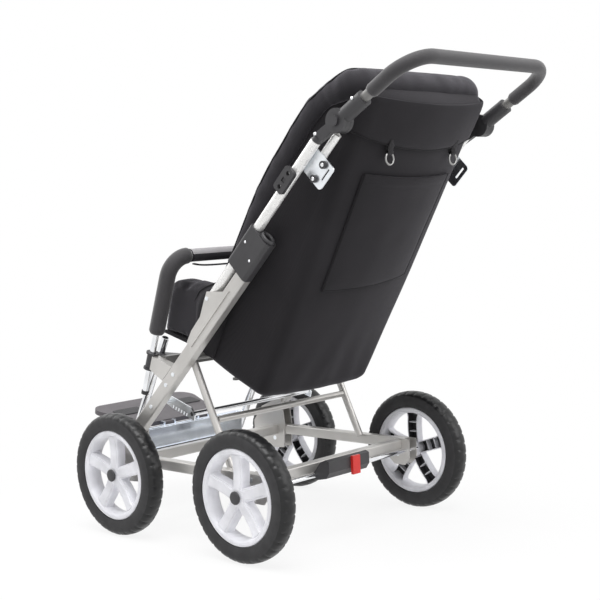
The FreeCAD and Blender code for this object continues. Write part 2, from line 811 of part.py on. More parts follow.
def build_seat_tubes():
    """Two cross tubes with posts under the seat board, and the stem under the front one."""
    tube_y, tube_z = size("seat_tube_y"), size("seat_tube_z")
    arm_inner = FRAME_X - size("arm_width") / 2
    span = "2 * (Sizes.frame_x - Sizes.arm_width / 2)"
    corner = point(-arm_inner, tube_y - size("seat_tube_depth") / 2, tube_z - size("seat_tube_height") / 2)
    front = box("seat_tube_front", span, "seat_tube_depth", "seat_tube_height", Placement(corner, Rotation()))
    angle = math.radians(size("seat_slope"))
    radius = size("seat_rear_radius")
    along = (0 - size("board_front_y") - radius * math.sin(angle)) / math.cos(angle)
    rear_y, rear_z = board_point(along, -radius)
    rear_span = "2 * (Sizes.frame_x - Sizes.frame_width / 2)"
    rear = rod("seat_tube_rear", "seat_rear_radius", rear_span, point(-INNER_X, rear_y, rear_z), X_AXIS)
    parts = [front, rear]
    post_half = size("post_size") / 2
    tube_top = tube_z + size("seat_tube_height") / 2
    outline = [(tube_y - post_half, tube_top), (tube_y + post_half, tube_top)]
    for y in (tube_y + post_half, tube_y - post_half):
        outline.append((y, size("board_front_z") - (y - size("board_front_y")) * math.tan(angle)))
    for side, sign in SIDES:
        parts.append(plate(f"seat_post_{side}", outline, sign * size("post_x") - post_half, "post_size"))
    low = tube_z - size("seat_tube_height") / 2
    stem = rod("stem_rod", "stem_radius", "stem_length", point(0, tube_y, low), Z_AXIS * -1)
    foot_place = point(0, tube_y, low - size("stem_length"))
    foot = rod("stem_foot", "stem_foot_radius", "stem_foot_depth", foot_place, Z_AXIS)
    group("seat_cross_tubes", parts + [fuse("centre_stem", stem, foot)])
    y, z = size("board_front_y"), size("board_front_z")
    place = Placement(point(-size("board_half"), y, z), Rotation(X_AXIS, -size("seat_slope")))
    node(box("board", "2 * Sizes.board_half", "board_length", "board_thickness", place), "seat_board")


def build_seat():
    """Seat cushion, side wings, the lower part of the back and the cover behind it."""
    gap = size("soft_gap")
    top = size("board_thickness") + gap

    def on_board(x, along, height):
        y, z = board_point(along, top + height)
        return point(x, y, z)

    half, length = size("seat_pad_half"), size("seat_pad_length")
    outline = [(-half, -4), (half, -4), (half, length), (-half, length)]
    node(cushion("seat_pad", outline, 26, 15, size("seat_pad_thickness"), on_board), "seat_cushion")
    wings = []
    inner = half + 4
    for side, sign in SIDES:
        def beside(y, z, height, sign=sign):
            return point(sign * (inner + height), y, z)
        front, rear = board_point(-2, top), board_point(175, top)
        outline = [front, rear, (40, 612), (-60, 626), (-118, 606)]
        wings.append(cushion(f"seat_wing_{side}", outline, 16, 9, size("seat_wing_thickness"), beside))
    group("seat_wings", wings)
    start, end = size("lower_pad_start"), size("back_split") - 3
    half = size("cover_half") - size("cover_thickness") - size("soft_gap")
    outline = [(-half, start), (half, start), (half, end), (-half, end)]
    pad = cushion("lower_pad", outline, 22, 13, size("back_pad_thickness"), on_back)
    node(pad, "lower_back_pad")
    build_seat_cover()


def on_back(x, up, height):
    """A place in a pad that lies on the front of the back's cover."""
    return back_point(x, up, size("back_pad_forward") + height)


def build_seat_cover():
    """The cloth tub under and behind the seat: a rear panel with two sides and a floor."""
    half, thick = size("cover_half"), size("cover_thickness")
    panel = sagging_panel("cover_low", (half, 12), (half, size("back_split") - 3), thick, 0)
    low, high = back_point(0, 12, 0), back_point(0, size("back_split") - 3, 0)
    shift = size("wheelbase_middle_y")
    floor_start = size("board_length") + size("soft_gap")
    floor_front = board_point(floor_start, 0)
    floor_front_low = board_point(floor_start, -thick)
    floor = [
        floor_front, (low.y - shift - 1, low.z + 2), (low.y - shift - 1, low.z + 2 - thick), floor_front_low,
    ]
    floor_panel = plate("cover_floor", floor, -half, f"{2 * half}")
    sides = []
    outline = [
        floor_front, (low.y - shift - 1, low.z + 4), (high.y - shift - 1, high.z),
        (high.y - shift - 120, high.z + 10), (floor_front[0] + 12, floor_front[1] + 70),
        board_point(floor_start, size("board_thickness") + 6),
    ]
    for side, sign in SIDES:
        x = half - thick if sign > 0 else -half
        sides.append(plate(f"cover_side_{side}", outline, x, "cover_thickness"))
    group("seat_cover", [panel, floor_panel] + sides)


def build_back():
    """The back that folds with the upper frame: pad, wings, cover, flap, pocket and rings."""
    half, split, top = size("back_pad_half"), size("back_split"), size("back_top")
    outline = [(-half, split), (half, split), (half, top), (-half, top)]
    node(cushion("upper_pad", outline, 30, 14, size("back_pad_thickness"), on_back), "back_pad")
    inner, outer = size("back_wing_inner"), size("back_wing_outer")
    wings = []
    outline = [
        (82, 622), (187, 782), (284, 905), (341, 970), (418, 1031), (476, 1052), (520, 1010), (318, 612),
        (170, 584),
    ]
    for side, sign in SIDES:
        def beside(y, z, height, sign=sign):
            return point(sign * (inner + height), y, z)
        wings.append(cushion(f"back_wing_{side}", outline, 14, 7, outer - inner, beside))
    group("back_wings", wings)
    cover_half, cover_top = size("cover_half"), size("cover_top")
    cover = sagging_panel("cover_high", (cover_half, split), (cover_half, cover_top), size("cover_thickness"), 0)
    node(cover, "back_cover")
    behind = -size("cover_thickness") - size("soft_gap")
    low = (size("flap_half_low"), size("flap_start"))
    high = (size("flap_half_top"), cover_top + 6)
    flap = sagging_panel("flap", low, high, size("flap_thickness"), behind)
    group("top_flap", [flap] + build_rings())
    low = (size("pocket_half_low"), size("pocket_start"))
    high = (size("pocket_half_top"), size("pocket_end"))
    node(sagging_panel("pocket", low, high, size("pocket_thickness"), behind), "back_pocket")


def build_rings():
    """Metal rings on cloth tabs that hang from under the flap's lower edge."""
    bow = (size("cover_half") ** 2 + size("cover_sag") ** 2) / (2 * size("cover_sag"))
    sag = bow - math.sqrt(bow ** 2 - size("ring_x") ** 2) - size("cover_sag")
    forward = sag - size("cover_thickness") - size("ring_stand_off") - size("ring_wire")
    rings, tabs = [], []
    for side, sign in SIDES:
        hook = back_point(sign * size("ring_x"), size("ring_hook"), forward)
        ring = doc.addObject("Part::Torus", f"ring_{side}")
        bind(ring, Radius1="ring_radius", Radius2="ring_wire")
        ring.Placement = Placement(hook - Z_AXIS * size("ring_radius"), turned(Vector(0, 1, 0)))
        rings.append(ring)
        up = size("ring_hook") + size("ring_wire") + size("soft_gap")
        corner = back_point(sign * size("ring_x") - size("tab_width") / 2, up, forward + size("tab_cloth") / 2)
        place = Placement(corner, Rotation(X_AXIS, -size("back_lean")))
        tabs.append(box(f"tab_{side}", "tab_width", "tab_cloth", "tab_length", place))
    group("d_rings", rings)
    return tabs


def build_upper_frame():
    """Upper tubes with clips, plates and hinge knuckles, and the tube behind the back pad."""
    tubes = []
    for side, sign in SIDES:
        start = PIVOT - UPPER_RUN * size("upper_tail") + X_AXIS * (sign * FRAME_X)
        blank = tube(f"upper_{side}_blank", "upper_radius", "wall", "upper_length", start, UPPER_RUN)
        hole_start = PIVOT + X_AXIS * (sign * FRAME_X - HALF_WIDTH)
        hole_size = "Sizes.bolt_radius + Sizes.turn_fit"
        hole = rod(f"upper_{side}_hole", hole_size, "frame_width", hole_start, X_AXIS)
        tubes.append(cut(f"upper_{side}", blank, hole))
    group("upper_tubes", tubes)
    build_clips()
    build_recline_plates()
    back_tubes = []
    beside = FRAME_X - size("upper_radius") - PLATE - size("back_tube_radius")
    for side, sign in SIDES:
        start = upper_place(sign * beside, size("back_tube_start"), size("back_tube_behind"))
        name = f"back_tube_{side}"
        back_tubes.append(tube(name, "back_tube_radius", "wall", "back_tube_length", start, UPPER_RUN))
    group("back_tubes", back_tubes)


def upper_place(x, along, behind):
    """A place beside an upper tube: along it from the pivot and behind its centre line."""
    return PIVOT + UPPER_RUN * along + UPPER_BACK * behind + X_AXIS * x


def upper_turn():
    """The rotation whose Z runs up the upper tube and whose Y points behind it."""
    return Rotation(X_AXIS, UPPER_BACK, UPPER_RUN, "ZXY")


def upper_block(name, width, depth, length, x, along, behind):
    """A block lined up with the upper tube, from its low inner front corner at x."""
    obj = box(name, width, depth, length, Placement())
    start = upper_place(x, along, behind)
    obj.Placement = Placement(start, upper_turn())
    return obj


def build_clips():
    """Plastic clips on the upper tubes' outer faces, with two round holes and a square one."""
    clips = []
    start, depth = size("clip_start"), size("clip_depth")
    for side, sign in SIDES:
        thick = size("clip_thickness")
        face = FRAME_X + size("upper_radius")
        x = face if sign > 0 else -face - thick
        blank = upper_block(f"clip_{side}_blank", "clip_thickness", "clip_depth", "clip_length", x, start, -depth / 2)
        blank = round_edges(f"clip_{side}_round", blank, size("clip_round"), runs_along(X_AXIS))
        holes = []
        for index, along in enumerate((12, size("clip_length") - 12)):
            place = upper_place(x, start + along, 0)
            holes.append(rod(f"clip_{side}_hole{index}", "clip_bore", "clip_thickness", place, X_AXIS))
        square = size("clip_square")
        middle = start + size("clip_length") / 2 - square / 2
        name = f"clip_{side}_square"
        low = x + thick - size("clip_recess") if sign > 0 else x
        holes.append(upper_block(name, "clip_recess", "clip_square", "clip_square", low, middle, -square / 2))
        clips.append(cut(f"clip_{side}", blank, *holes))
    group("accessory_clips", clips)


def build_recline_plates():
    """Zinc plates that join the upper tubes to the tube behind the back, with their knobs."""
    plates, knobs = [], []
    start, length = size("recline_start"), size("recline_length")
    for side, sign in SIDES:
        inner = FRAME_X - size("upper_radius") - PLATE
        x = inner if sign > 0 else -inner - PLATE
        blank = upper_block(f"recline_{side}_blank", "plate", "recline_depth", "recline_length", x, start, -8)
        blank = round_edges(f"recline_{side}_round", blank, size("recline_round"), runs_along(X_AXIS))
        name = f"recline_{side}_slot"
        slot = upper_block(name, "plate", "recline_slot", "Sizes.recline_length / 2", x, start + length / 3, size("knob_behind") + 14)
        plates.append(cut(f"recline_{side}", blank, slot))
        for index, along in enumerate((length * 0.15, length * 0.79)):
            place = upper_place(sign * (inner + PLATE), start + along, size("knob_behind"))
            knobs.append(rod(f"knob_{side}_{index}", "knob_radius", "knob_depth", place, X_AXIS * sign))
    group("recline_plates", plates)
    group("plate_knobs", knobs)


def build_sleeves():
    """Lock sleeves that slide up the upper tubes, each with an open socket behind the tube."""
    for side, sign in SIDES:
        x = sign * FRAME_X - size("sleeve_width") / 2
        start = size("sleeve_start")
        depth = "Sizes.sleeve_front + Sizes.sleeve_rear"
        name = f"sleeve_{side}"
        block = upper_block(f"{name}_block", "sleeve_width", depth, "sleeve_length", x, start, -size("sleeve_front"))
        blank = round_edges(f"{name}_round", block, size("sleeve_round"), runs_along(UPPER_RUN))
        centre = upper_place(sign * FRAME_X, start, 0)
        seat = "Sizes.upper_radius + Sizes.slide_fit"
        bore = rod(f"{name}_bore", seat, "sleeve_length", centre, UPPER_RUN)
        socket_x = sign * FRAME_X - size("socket_width") / 2
        middle = (size("upper_radius") + size("sleeve_rear")) / 2 - size("socket_depth") / 2
        socket_length = "Sizes.sleeve_length - Sizes.socket_bottom"
        along = start + size("socket_bottom")
        socket = upper_block(f"{name}_socket", "socket_width", "socket_depth", socket_length, socket_x, along, middle)
        node(cut(name, blank, bore, socket), f"lock_sleeve_{side}")


def build_hinges():
    """Handle hinges: a tongue on the upper tube between two cheeks on the handle's arm."""
    knuckles, sockets = [], []
    top = PIVOT + UPPER_RUN * (size("upper_length") - size("upper_tail"))
    reach = HINGE - top
    half, tongue = size("hinge_width") / 2, size("hinge_tongue") / 2
    gap = size("hinge_gap")
    for side, sign in SIDES:
        centre = HINGE + X_AXIS * (sign * FRAME_X)
        name = f"knuckle_{side}"
        disc = rod(f"{name}_disc", "hinge_radius", "hinge_tongue", centre - X_AXIS * tongue, X_AXIS)
        base = top + X_AXIS * (sign * FRAME_X)
        lift = UPPER_RUN * size("neck_lift")
        neck_length = f"{(reach - lift).Length}"
        neck = bar(f"{name}_neck", "hinge_tongue", "Sizes.upper_radius * 2", neck_length, base + lift, reach - lift)
        plug = rod(f"{name}_plug", "Sizes.upper_radius - Sizes.wall", "34", base - UPPER_RUN * 24, UPPER_RUN)
        pin_length = "2 * Sizes.hinge_width / 2 - Sizes.button_pocket - 0.6"
        pin_start = centre - X_AXIS * (sign * half)
        pin = rod(f"{name}_pin", "hinge_pin", pin_length, pin_start, X_AXIS * sign)
        knuckles.append(fuse(name, disc, neck, plug, pin))
        sockets.append(hinge_socket(f"socket_{side}", sign, centre, half, tongue + gap))
        build_button(side, sign, centre, half)
    group("hinge_knuckles", knuckles)
    group("handle_sockets", sockets)


def hinge_socket(name, sign, centre, half, slot):
    """The handle's half of a hinge: a clevis with a sleeve for the arm and a button's pocket."""
    disc = rod(f"{name}_disc", "hinge_radius", "hinge_width", centre - X_AXIS * half, X_AXIS)
    radius = "Sizes.handle_radius + Sizes.socket_wall"
    sleeve = rod(f"{name}_sleeve", radius, "62", centre + HANDLE_RUN * 18, HANDLE_RUN)
    blank = fuse(f"{name}_blank", disc, sleeve)
    slot_start = centre - X_AXIS * slot
    gap = rod(f"{name}_slot", "Sizes.hinge_radius + 2", f"{2 * slot}", slot_start, X_AXIS)
    seat = "Sizes.hinge_pin + Sizes.turn_fit"
    bore = rod(f"{name}_bore", seat, "hinge_width", centre - X_AXIS * half, X_AXIS)
    pocket_start = centre + X_AXIS * (sign * (half - size("button_pocket")))
    pocket_size = "Sizes.button_radius + Sizes.button_fit"
    pocket = rod(f"{name}_pocket", pocket_size, "button_pocket", pocket_start, X_AXIS * sign)
    arm = rod(f"{name}_arm", "handle_radius", "80", centre + HANDLE_RUN * size("handle_start"), HANDLE_RUN)
    return cut(name, blank, gap, bore, pocket, arm)


def build_button(side, sign, centre, half):
    """The push button in the outer face of a hinge."""
    start = centre + X_AXIS * (sign * (half - 3.5))
    node(rod(f"button_{side}", "button_radius", "button_length", start, X_AXIS * sign), f"hinge_button_{side}")


def build_handle():
    """The bent handle bar and its foam grip."""
    reach = size("handle_reach")
    corner = HINGE + HANDLE_RUN * reach
    for name, radius, inside, start in (
        ("handle_bar", "handle_radius", "Sizes.handle_radius - Sizes.wall", size("handle_start")),
        ("handle_grip", "grip_radius", "handle_radius", size("grip_start")),
    ):
        arm = HINGE + HANDLE_RUN * start
        side = X_AXIS * FRAME_X
        route = [arm + side, corner + side, corner - side, arm - side]
        node(swept_tube(name, radius, inside, route, size("handle_bend")), name)


def build_bumper():
    """The bumper bar with its foam elbows, the cover on its cross bar and its end caps."""
    rise = (size("bumper_top_z") - size("bumper_foot_z")) / BUMPER_RUN.z
    top = BUMPER_FOOT + BUMPER_RUN * rise
    side, bend = X_AXIS * FRAME_X, size("bumper_bend")
    route = [BUMPER_FOOT + side, top + side, top - side, BUMPER_FOOT - side]
    inside = "Sizes.bumper_radius - Sizes.wall"
    node(swept_tube("bumper_tube", "bumper_radius", inside, route, bend), "bumper_bar")
    foams, caps = [], []
    for name, sign in SIDES:
        leg = X_AXIS * (sign * FRAME_X)
        start = BUMPER_FOOT + BUMPER_RUN * size("foam_start") + leg
        end = top + X_AXIS * (sign * (FRAME_X - bend - 1))
        foams.append(swept_tube(f"foam_{name}", "foam_radius", "bumper_radius", [start, top + leg, end], bend))
        cap_start = BUMPER_FOOT + leg - BUMPER_RUN * size("bumper_cap_depth")
        caps.append(rod(f"bumper_cap_{name}", "bumper_cap_radius", "bumper_cap_depth", cap_start, BUMPER_RUN))
    reach = FRAME_X - bend - 1.5
    sleeve = f"{2 * reach}"
    cover = rod("cover_outer", "cover_radius", sleeve, top - X_AXIS * reach, X_AXIS)
    bore = rod("cover_bore", "bumper_radius", sleeve, top - X_AXIS * reach, X_AXIS)
    foams.append(cut("cover_sleeve", cover, bore))
    group("bumper_foam", foams)
    group("bumper_caps", caps)


def build_footrest():
    """Hanger tubes, the beam between them, and the footplate on its hinges."""
    hangers = []
    for side, sign in SIDES:
        foot = HANGER_FOOT + X_AXIS * (sign * size("hanger_x"))
        hangers.append(tube(f"hanger_{side}", "hanger_radius", "wall", "hanger_length", foot, HANGER_RUN))
    group("hanger_tubes", hangers)
    low, height = size("beam_bottom_z"), size("beam_height")
    middle_z = low + height / 2
    beam_y = size("hanger_foot_y") + (middle_z - size("hanger_foot_z")) * HANGER_RUN.y / HANGER_RUN.z
    reach = size("hanger_x") - size("hanger_radius")
    span = "2 * (Sizes.hanger_x - Sizes.hanger_radius)"
    front_y = beam_y - size("beam_depth") / 2
    outer = box("beam_outer", span, "beam_depth", "beam_height", Placement(point(-reach, front_y, low), Rotation()))
    beam = round_edges("beam_round", outer, 5.0, runs_along(X_AXIS))
    strip_place = Placement(point(-reach, front_y + 4, low - size("strip_depth")), Rotation())
    node(box("strip", span, "Sizes.beam_depth - 8", "strip_depth", strip_place), "beam_strip")
    group("footrest_beam", [beam] + build_footplate(beam_y, low + height))


def build_footplate(beam_y, beam_top):
    """The plate that tips up on barrels before the beam, with its lugs, pins and straps."""
    pin_z = beam_top + size("foot_pin_height")
    pin_y = beam_y - size("beam_depth") / 2 - size("foot_pin_ahead")
    pin = point(0, pin_y, pin_z)
    tilt = math.radians(size("footplate_tilt"))
    ahead = Vector(0, -math.cos(tilt), math.sin(tilt))
    above = Vector(0, math.sin(tilt), math.cos(tilt))

    def on_plate(x, forward, height):
        return pin + X_AXIS * x + ahead * forward + above * height

    half, rear_half, thick = size("footplate_half"), size("footplate_rear_half"), size("footplate_thickness")
    start, end = size("footplate_gap"), size("footplate_gap") + size("footplate_length")
    under = -thick / 2
    corners = [(-rear_half, start), (rear_half, start), (half, end), (-half, end)]
    wire = doc.addObject("Part::Feature", "footplate_outline")
    wire.Shape = bent_path([on_plate(x, y, under) for x, y in corners], size("footplate_corner"), True)
    slab = doc.addObject("Part::Extrusion", "footplate_slab")
    slab.Base = wire
    slab.DirMode = "Custom"
    slab.Dir = above
    bind(slab, LengthFwd="footplate_thickness")
    slab.Solid = True
    parts, cuts, lugs = [slab], [], []
    barrel = size("foot_barrel_length")
    for side, sign in SIDES:
        middle = sign * size("foot_hinge_x")
        begin = on_plate(middle - barrel / 2, 0, 0)
        parts.append(rod(f"barrel_{side}", "foot_barrel_radius", "foot_barrel_length", begin, X_AXIS))
        web = box(f"barrel_web_{side}", "foot_barrel_length", "12", "8", Placement())
        web.Placement = Placement(on_plate(middle + barrel / 2, 3, -4), Rotation(X_AXIS * -1, ahead, above, "ZXY"))
        parts.append(web)
        seat = "Sizes.foot_pin_radius + Sizes.turn_fit"
        cuts.append(rod(f"barrel_bore_{side}", seat, "foot_barrel_length", begin, X_AXIS))
        lug_gap = 0.4
        for end_name, x in (("low", middle - barrel / 2 - lug_gap - size("foot_lug")), ("high", middle + barrel / 2 + lug_gap)):
            lug_corner = point(x, pin_y - 7, pin_z - size("foot_lug_drop"))
            lug_depth, lug_height = "Sizes.foot_pin_ahead + 7", "Sizes.foot_lug_drop + 7"
            lug = box(f"lug_{side}_{end_name}", "foot_lug", lug_depth, lug_height, Placement(lug_corner, Rotation()))
            lugs.append(lug)
        pin_start = pin + X_AXIS * (middle - barrel / 2 - lug_gap - size("foot_lug"))
        length = "Sizes.foot_barrel_length + 2 * Sizes.foot_lug + 0.8"
        lugs.append(rod(f"foot_pin_{side}", "foot_pin_radius", length, pin_start, X_AXIS))
    node(cut("footplate_solid", fuse("footplate_blank", *parts), *cuts), "footplate")
    hinges = []
    for side, index in (("left", 0), ("right", 3)):
        hinges.append(fuse(f"foot_hinge_{side}", *lugs[index:index + 3]))
    build_straps(on_plate, thick / 2)
    return hinges


def build_straps(on_plate, surface):
    """Two flat straps across the footplate."""
    straps = []
    for side, sign in SIDES:
        strap = box(f"strap_{side}", "strap_span", "strap_width", "strap_thickness", Placement())
        ahead = on_plate(0, 1, 0) - on_plate(0, 0, 0)
        above = on_plate(0, 0, 1) - on_plate(0, 0, 0)
        corner = on_plate(sign * size("strap_x") + size("strap_span") / 2, size("strap_ahead"), surface)
        strap.Placement = Placement(corner, Rotation(X_AXIS * -1, ahead, above, "ZXY"))
        straps.append(strap)
    group("foot_straps", straps)


def build_rack():
    """Toothed plates on pins inside the main tubes, joined by a rod at their rear ends."""
    pivot_y, pivot_z = size("rack_pivot_y"), size("rack_pivot_z")
    run = slope(-size("rack_angle"))
    up = Vector(0, -run.z, run.y)
    length, height = size("rack_length"), size("rack_height")
    tooth, deep = size("rack_tooth"), size("rack_tooth_depth")

    def place(along, above):
        spot = run * along + up * above
        return (pivot_y + spot.y, pivot_z + spot.z)

    outline = [place(-12, height / 2), place(length - 8, height / 2), place(length + 10, height / 2 - 12)]
    outline += [place(length + 10, -height / 2), place(length - 6, -height / 2)]
    for index in range(int(size("rack_teeth"))):
        near = length - 14 - 2 * tooth * index
        outline += [place(near, -height / 2), place(near, deep - height / 2)]
        outline += [place(near - tooth, deep - height / 2), place(near - tooth, -height / 2)]
    outline += [place(-12, -height / 2 + 4)]
    end_y, end_z = place(length, 0)
    parts = []
    for side, sign in SIDES:
        x = sign * size("rack_x") - size("rack_plate") / 2
        blank = plate(f"rack_{side}_blank", outline, x, "rack_plate")
        pivot_size = "Sizes.bolt_radius + Sizes.turn_fit"
        pivot = rod(f"rack_{side}_pivot", pivot_size, "rack_plate", point(x, pivot_y, pivot_z), X_AXIS)
        seat = rod(f"rack_{side}_seat", "rack_rod_radius", "rack_plate", point(x, end_y, end_z), X_AXIS)
        parts.append(cut(f"rack_{side}", blank, pivot, seat))
    reach = size("rack_x") + size("rack_plate") / 2
    span = "2 * Sizes.rack_x + Sizes.rack_plate"
    group("tilt_rack", parts)
    node(rod("rack_rod_bar", "rack_rod_radius", span, point(-reach, end_y, end_z), X_AXIS), "rack_rod")


def build_brake():
    """The brake rod in the rear brackets, its pedal and the red tab."""
    y, z, end = BRAKE_Y, size("brake_z"), size("brake_end_x")
    node(rod("brake_bar", "brake_radius", "2 * Sizes.brake_end_x", point(-end, y, z), X_AXIS), "brake_rod")
    right, reach, rise, drop = size("pedal_right"), size("pedal_reach"), size("pedal_rise"), size("pedal_drop")
    collar = size("brake_radius") + 4
    outline = [
        (y - collar, z - drop), (y + 6, z - drop - 2), (y + reach - 10, z - drop + 3), (y + reach, z + 8),
        (y + reach, z + rise - 4), (y + reach - 10, z + rise), (y + 12, z + rise - 8), (y - 4, z + collar + 1),
        (y - collar, z + 4),
    ]
    blank = plate("pedal_blank", outline, -right, "pedal_length")
    bore = rod("pedal_bore", "brake_radius", "pedal_length", point(-right, y, z), X_AXIS)
    node(cut("pedal", blank, bore), "brake_pedal")
    corner = point(size("tab_middle") - size("tab_half"), y + reach, z + rise - 2 - size("tab_height"))
    tab = box("tab", "2 * Sizes.tab_half", "tab_thickness", "tab_height", Placement(corner, Rotation()))
    node(tab, "brake_tab")


def write_parts():
    """Check every object, then write one file for each sub-part."""
    doc.recompute()
    for obj in doc.Objects:
        if "Invalid" in obj.State or "Error" in obj.State:
            raise RuntimeError(f"{obj.Name} failed: {obj.State}")
    os.makedirs("parts", exist_ok=True)
    for obj in nodes:
        shape = obj.Shape
        if shape.isNull() or not shape.isValid() or not shape.Solids:
            raise RuntimeError(f"{obj.Label} has no sound solid")
        shape.exportStep(f"parts/{obj.Label}.step")


build_wheels()
build_axles()
build_lower_frame()
build_seat_carrier()
build_seat()
build_upper_frame()
build_sleeves()
build_hinges()
build_handle()
build_bumper()
build_footrest()
build_rack()
build_brake()
build_back()
write_parts()
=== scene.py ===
"""Looks for a folding push chair with a padded bucket seat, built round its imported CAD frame.

Metres, +Z up, the chair faces -Y and its own left side is +X, as in the CAD frame.
"""

import logging
import math
from dataclasses import dataclass, field
from enum import Enum
from typing import Callable, Iterable, Sequence

import bmesh
import bpy
from mathutils import Matrix, Vector, noise

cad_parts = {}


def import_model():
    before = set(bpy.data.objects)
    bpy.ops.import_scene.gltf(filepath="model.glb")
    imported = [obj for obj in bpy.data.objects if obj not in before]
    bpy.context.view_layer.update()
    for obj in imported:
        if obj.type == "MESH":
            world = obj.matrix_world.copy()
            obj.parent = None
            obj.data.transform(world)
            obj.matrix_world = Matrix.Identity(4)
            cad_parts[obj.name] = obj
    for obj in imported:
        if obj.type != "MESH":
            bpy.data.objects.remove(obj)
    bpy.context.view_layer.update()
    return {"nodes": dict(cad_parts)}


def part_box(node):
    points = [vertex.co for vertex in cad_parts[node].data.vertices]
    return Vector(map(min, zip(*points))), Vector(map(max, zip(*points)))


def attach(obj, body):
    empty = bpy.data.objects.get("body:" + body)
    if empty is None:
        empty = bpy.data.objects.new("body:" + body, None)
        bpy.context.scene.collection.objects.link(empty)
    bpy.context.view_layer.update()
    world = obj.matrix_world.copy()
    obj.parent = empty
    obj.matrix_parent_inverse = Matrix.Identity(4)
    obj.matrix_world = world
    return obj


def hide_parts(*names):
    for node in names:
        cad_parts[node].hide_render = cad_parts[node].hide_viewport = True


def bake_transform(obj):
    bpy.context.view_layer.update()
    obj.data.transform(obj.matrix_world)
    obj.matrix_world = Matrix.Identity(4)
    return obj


LOG = logging.getLogger("push_chair")
Place = Callable[[float, float, float], Vector]


class Side(Enum):
    """The chair's own two sides, with the sign of their X."""

    LEFT = 1
    RIGHT = -1

    @property
    def word(self) -> str:
        """The side's name in lower case."""
        return self.name.lower()


class Graph:
    """A material's node tree with short ways to add and join nodes."""

    def __init__(self, name: str) -> None:
        """Make an empty material that ends in a Principled shader.

        Args:
            name: The material's name.
        """
        self.material = bpy.data.materials.new(name)
        self.material.use_nodes = True
        self.tree = self.material.node_tree
        self.shader = self.tree.nodes["Principled BSDF"]
        self.place = self.add("ShaderNodeTexCoord").outputs["Object"]

    def add(self, kind: str, **inputs: object) -> bpy.types.Node:
        """Add a node and set or link its inputs.

        Args:
            kind: Blender's name for the node type.
            **inputs: Input names, with underscores for spaces, and values or sockets.

        Returns:
            The new node.
        """
        node = self.tree.nodes.new(kind)
        for key, value in inputs.items():
            socket = node.inputs[key.replace("_", " ")]
            self.feed(socket, value)
        return node

    def feed(self, socket: bpy.types.NodeSocket, value: object) -> None:
        """Link a socket to another one, or set its plain value."""
        if isinstance(value, bpy.types.NodeSocket):
            self.tree.links.new(value, socket)
        else:
            socket.default_value = value

    def set(self, **inputs: object) -> None:
        """Set or link inputs of the shader by name, with underscores for spaces."""
        for key, value in inputs.items():
            self.feed(self.shader.inputs[key.replace("_", " ")], value)

    def cloud(self, scale: float, detail: float = 2.0) -> bpy.types.NodeSocket:
        """Noise over the piece's own place.

        Args:
            scale: Noise cells per metre.
            detail: Octaves of finer noise.

        Returns:
            The noise value socket.
        """
        node = self.add("ShaderNodeTexNoise", Vector=self.place, Scale=scale, Detail=detail)
        return node.outputs[0]

    def stripes(self, axis: str, scale: float) -> bpy.types.NodeSocket:
        """Fine bands across one axis, as threads lie.

        Args:
            axis: "X", "Y" or "Z".
            scale: Blender's wave scale.

        Returns:
            The band value socket.
        """
        node = self.add("ShaderNodeTexWave", Vector=self.place, Scale=scale, Distortion=0.6)
        node.bands_direction = axis
        return node.outputs[1]

    def math(self, word: str, first: object, second: object) -> bpy.types.NodeSocket:
        """One sum of two values.

        Args:
            word: Blender's name for the sum.
            first: A socket or a number.
            second: A socket or a number.

        Returns:
            The result socket.
        """
        node = self.tree.nodes.new("ShaderNodeMath")
        node.operation = word
        self.feed(node.inputs[0], first)
        self.feed(node.inputs[1], second)
        return node.outputs[0]

    def shade(self, value: bpy.types.NodeSocket, low: Sequence[float], high: Sequence[float],
              start: float = 0.3, end: float = 0.7) -> bpy.types.NodeSocket:
        """Turn a value into a colour between two.

        Args:
            value: The value socket.
            low: The colour at the start.
            high: The colour at the end.
            start: The value that gives low.
            end: The value that gives high.

        Returns:
            The colour socket.
        """
        ramp = self.tree.nodes.new("ShaderNodeValToRGB")
        ramp.color_ramp.elements[0].position = start
        ramp.color_ramp.elements[1].position = end
        ramp.color_ramp.elements[0].color = (*low, 1.0)
        ramp.color_ramp.elements[1].color = (*high, 1.0)
        self.tree.links.new(value, ramp.inputs[0])
        return ramp.outputs[0]

    def level(self, value: bpy.types.NodeSocket, low: float, high: float) -> bpy.types.NodeSocket:
        """Spread a value of 0 to 1 between two numbers."""
        node = self.add("ShaderNodeMapRange", Value=value, To_Min=low, To_Max=high)
        return node.outputs[0]

    def bump(self, height: bpy.types.NodeSocket, strength: float, distance: float) -> None:
        """Raise the surface by a height.

        Args:
            height: The height socket.
            strength: The share of the bump that shows.
            distance: The depth in metres.
        """
        node = self.add("ShaderNodeBump", Height=height, Strength=strength, Distance=distance)
        self.set(Normal=node.outputs[0])


Colour = tuple[float, float, float]


def scaled(colour: Colour, share: float) -> Colour:
    """A colour made lighter or darker by a share."""
    return tuple(min(1.0, part * share) for part in colour)


@dataclass(frozen=True)
class PowderCoat:
    """Semi-matt paint baked on tube, with a faint orange peel."""

    name: str
    colour: Colour
    roughness: float = 0.42
    metallic: float = 0.0
    peel: float = 0.12

    def build(self) -> bpy.types.Material:
        """Make the material."""
        graph = Graph(self.name)
        colour = graph.shade(graph.cloud(14.0), scaled(self.colour, 0.93), scaled(self.colour, 1.05))
        rough = graph.level(graph.cloud(60.0, 4.0), self.roughness - 0.08, self.roughness + 0.08)
        graph.set(Base_Color=colour, Roughness=rough, Metallic=self.metallic)
        graph.set(Coat_Weight=0.12, Coat_Roughness=0.3)
        graph.bump(graph.cloud(900.0), self.peel, 0.0004)
        return graph.material


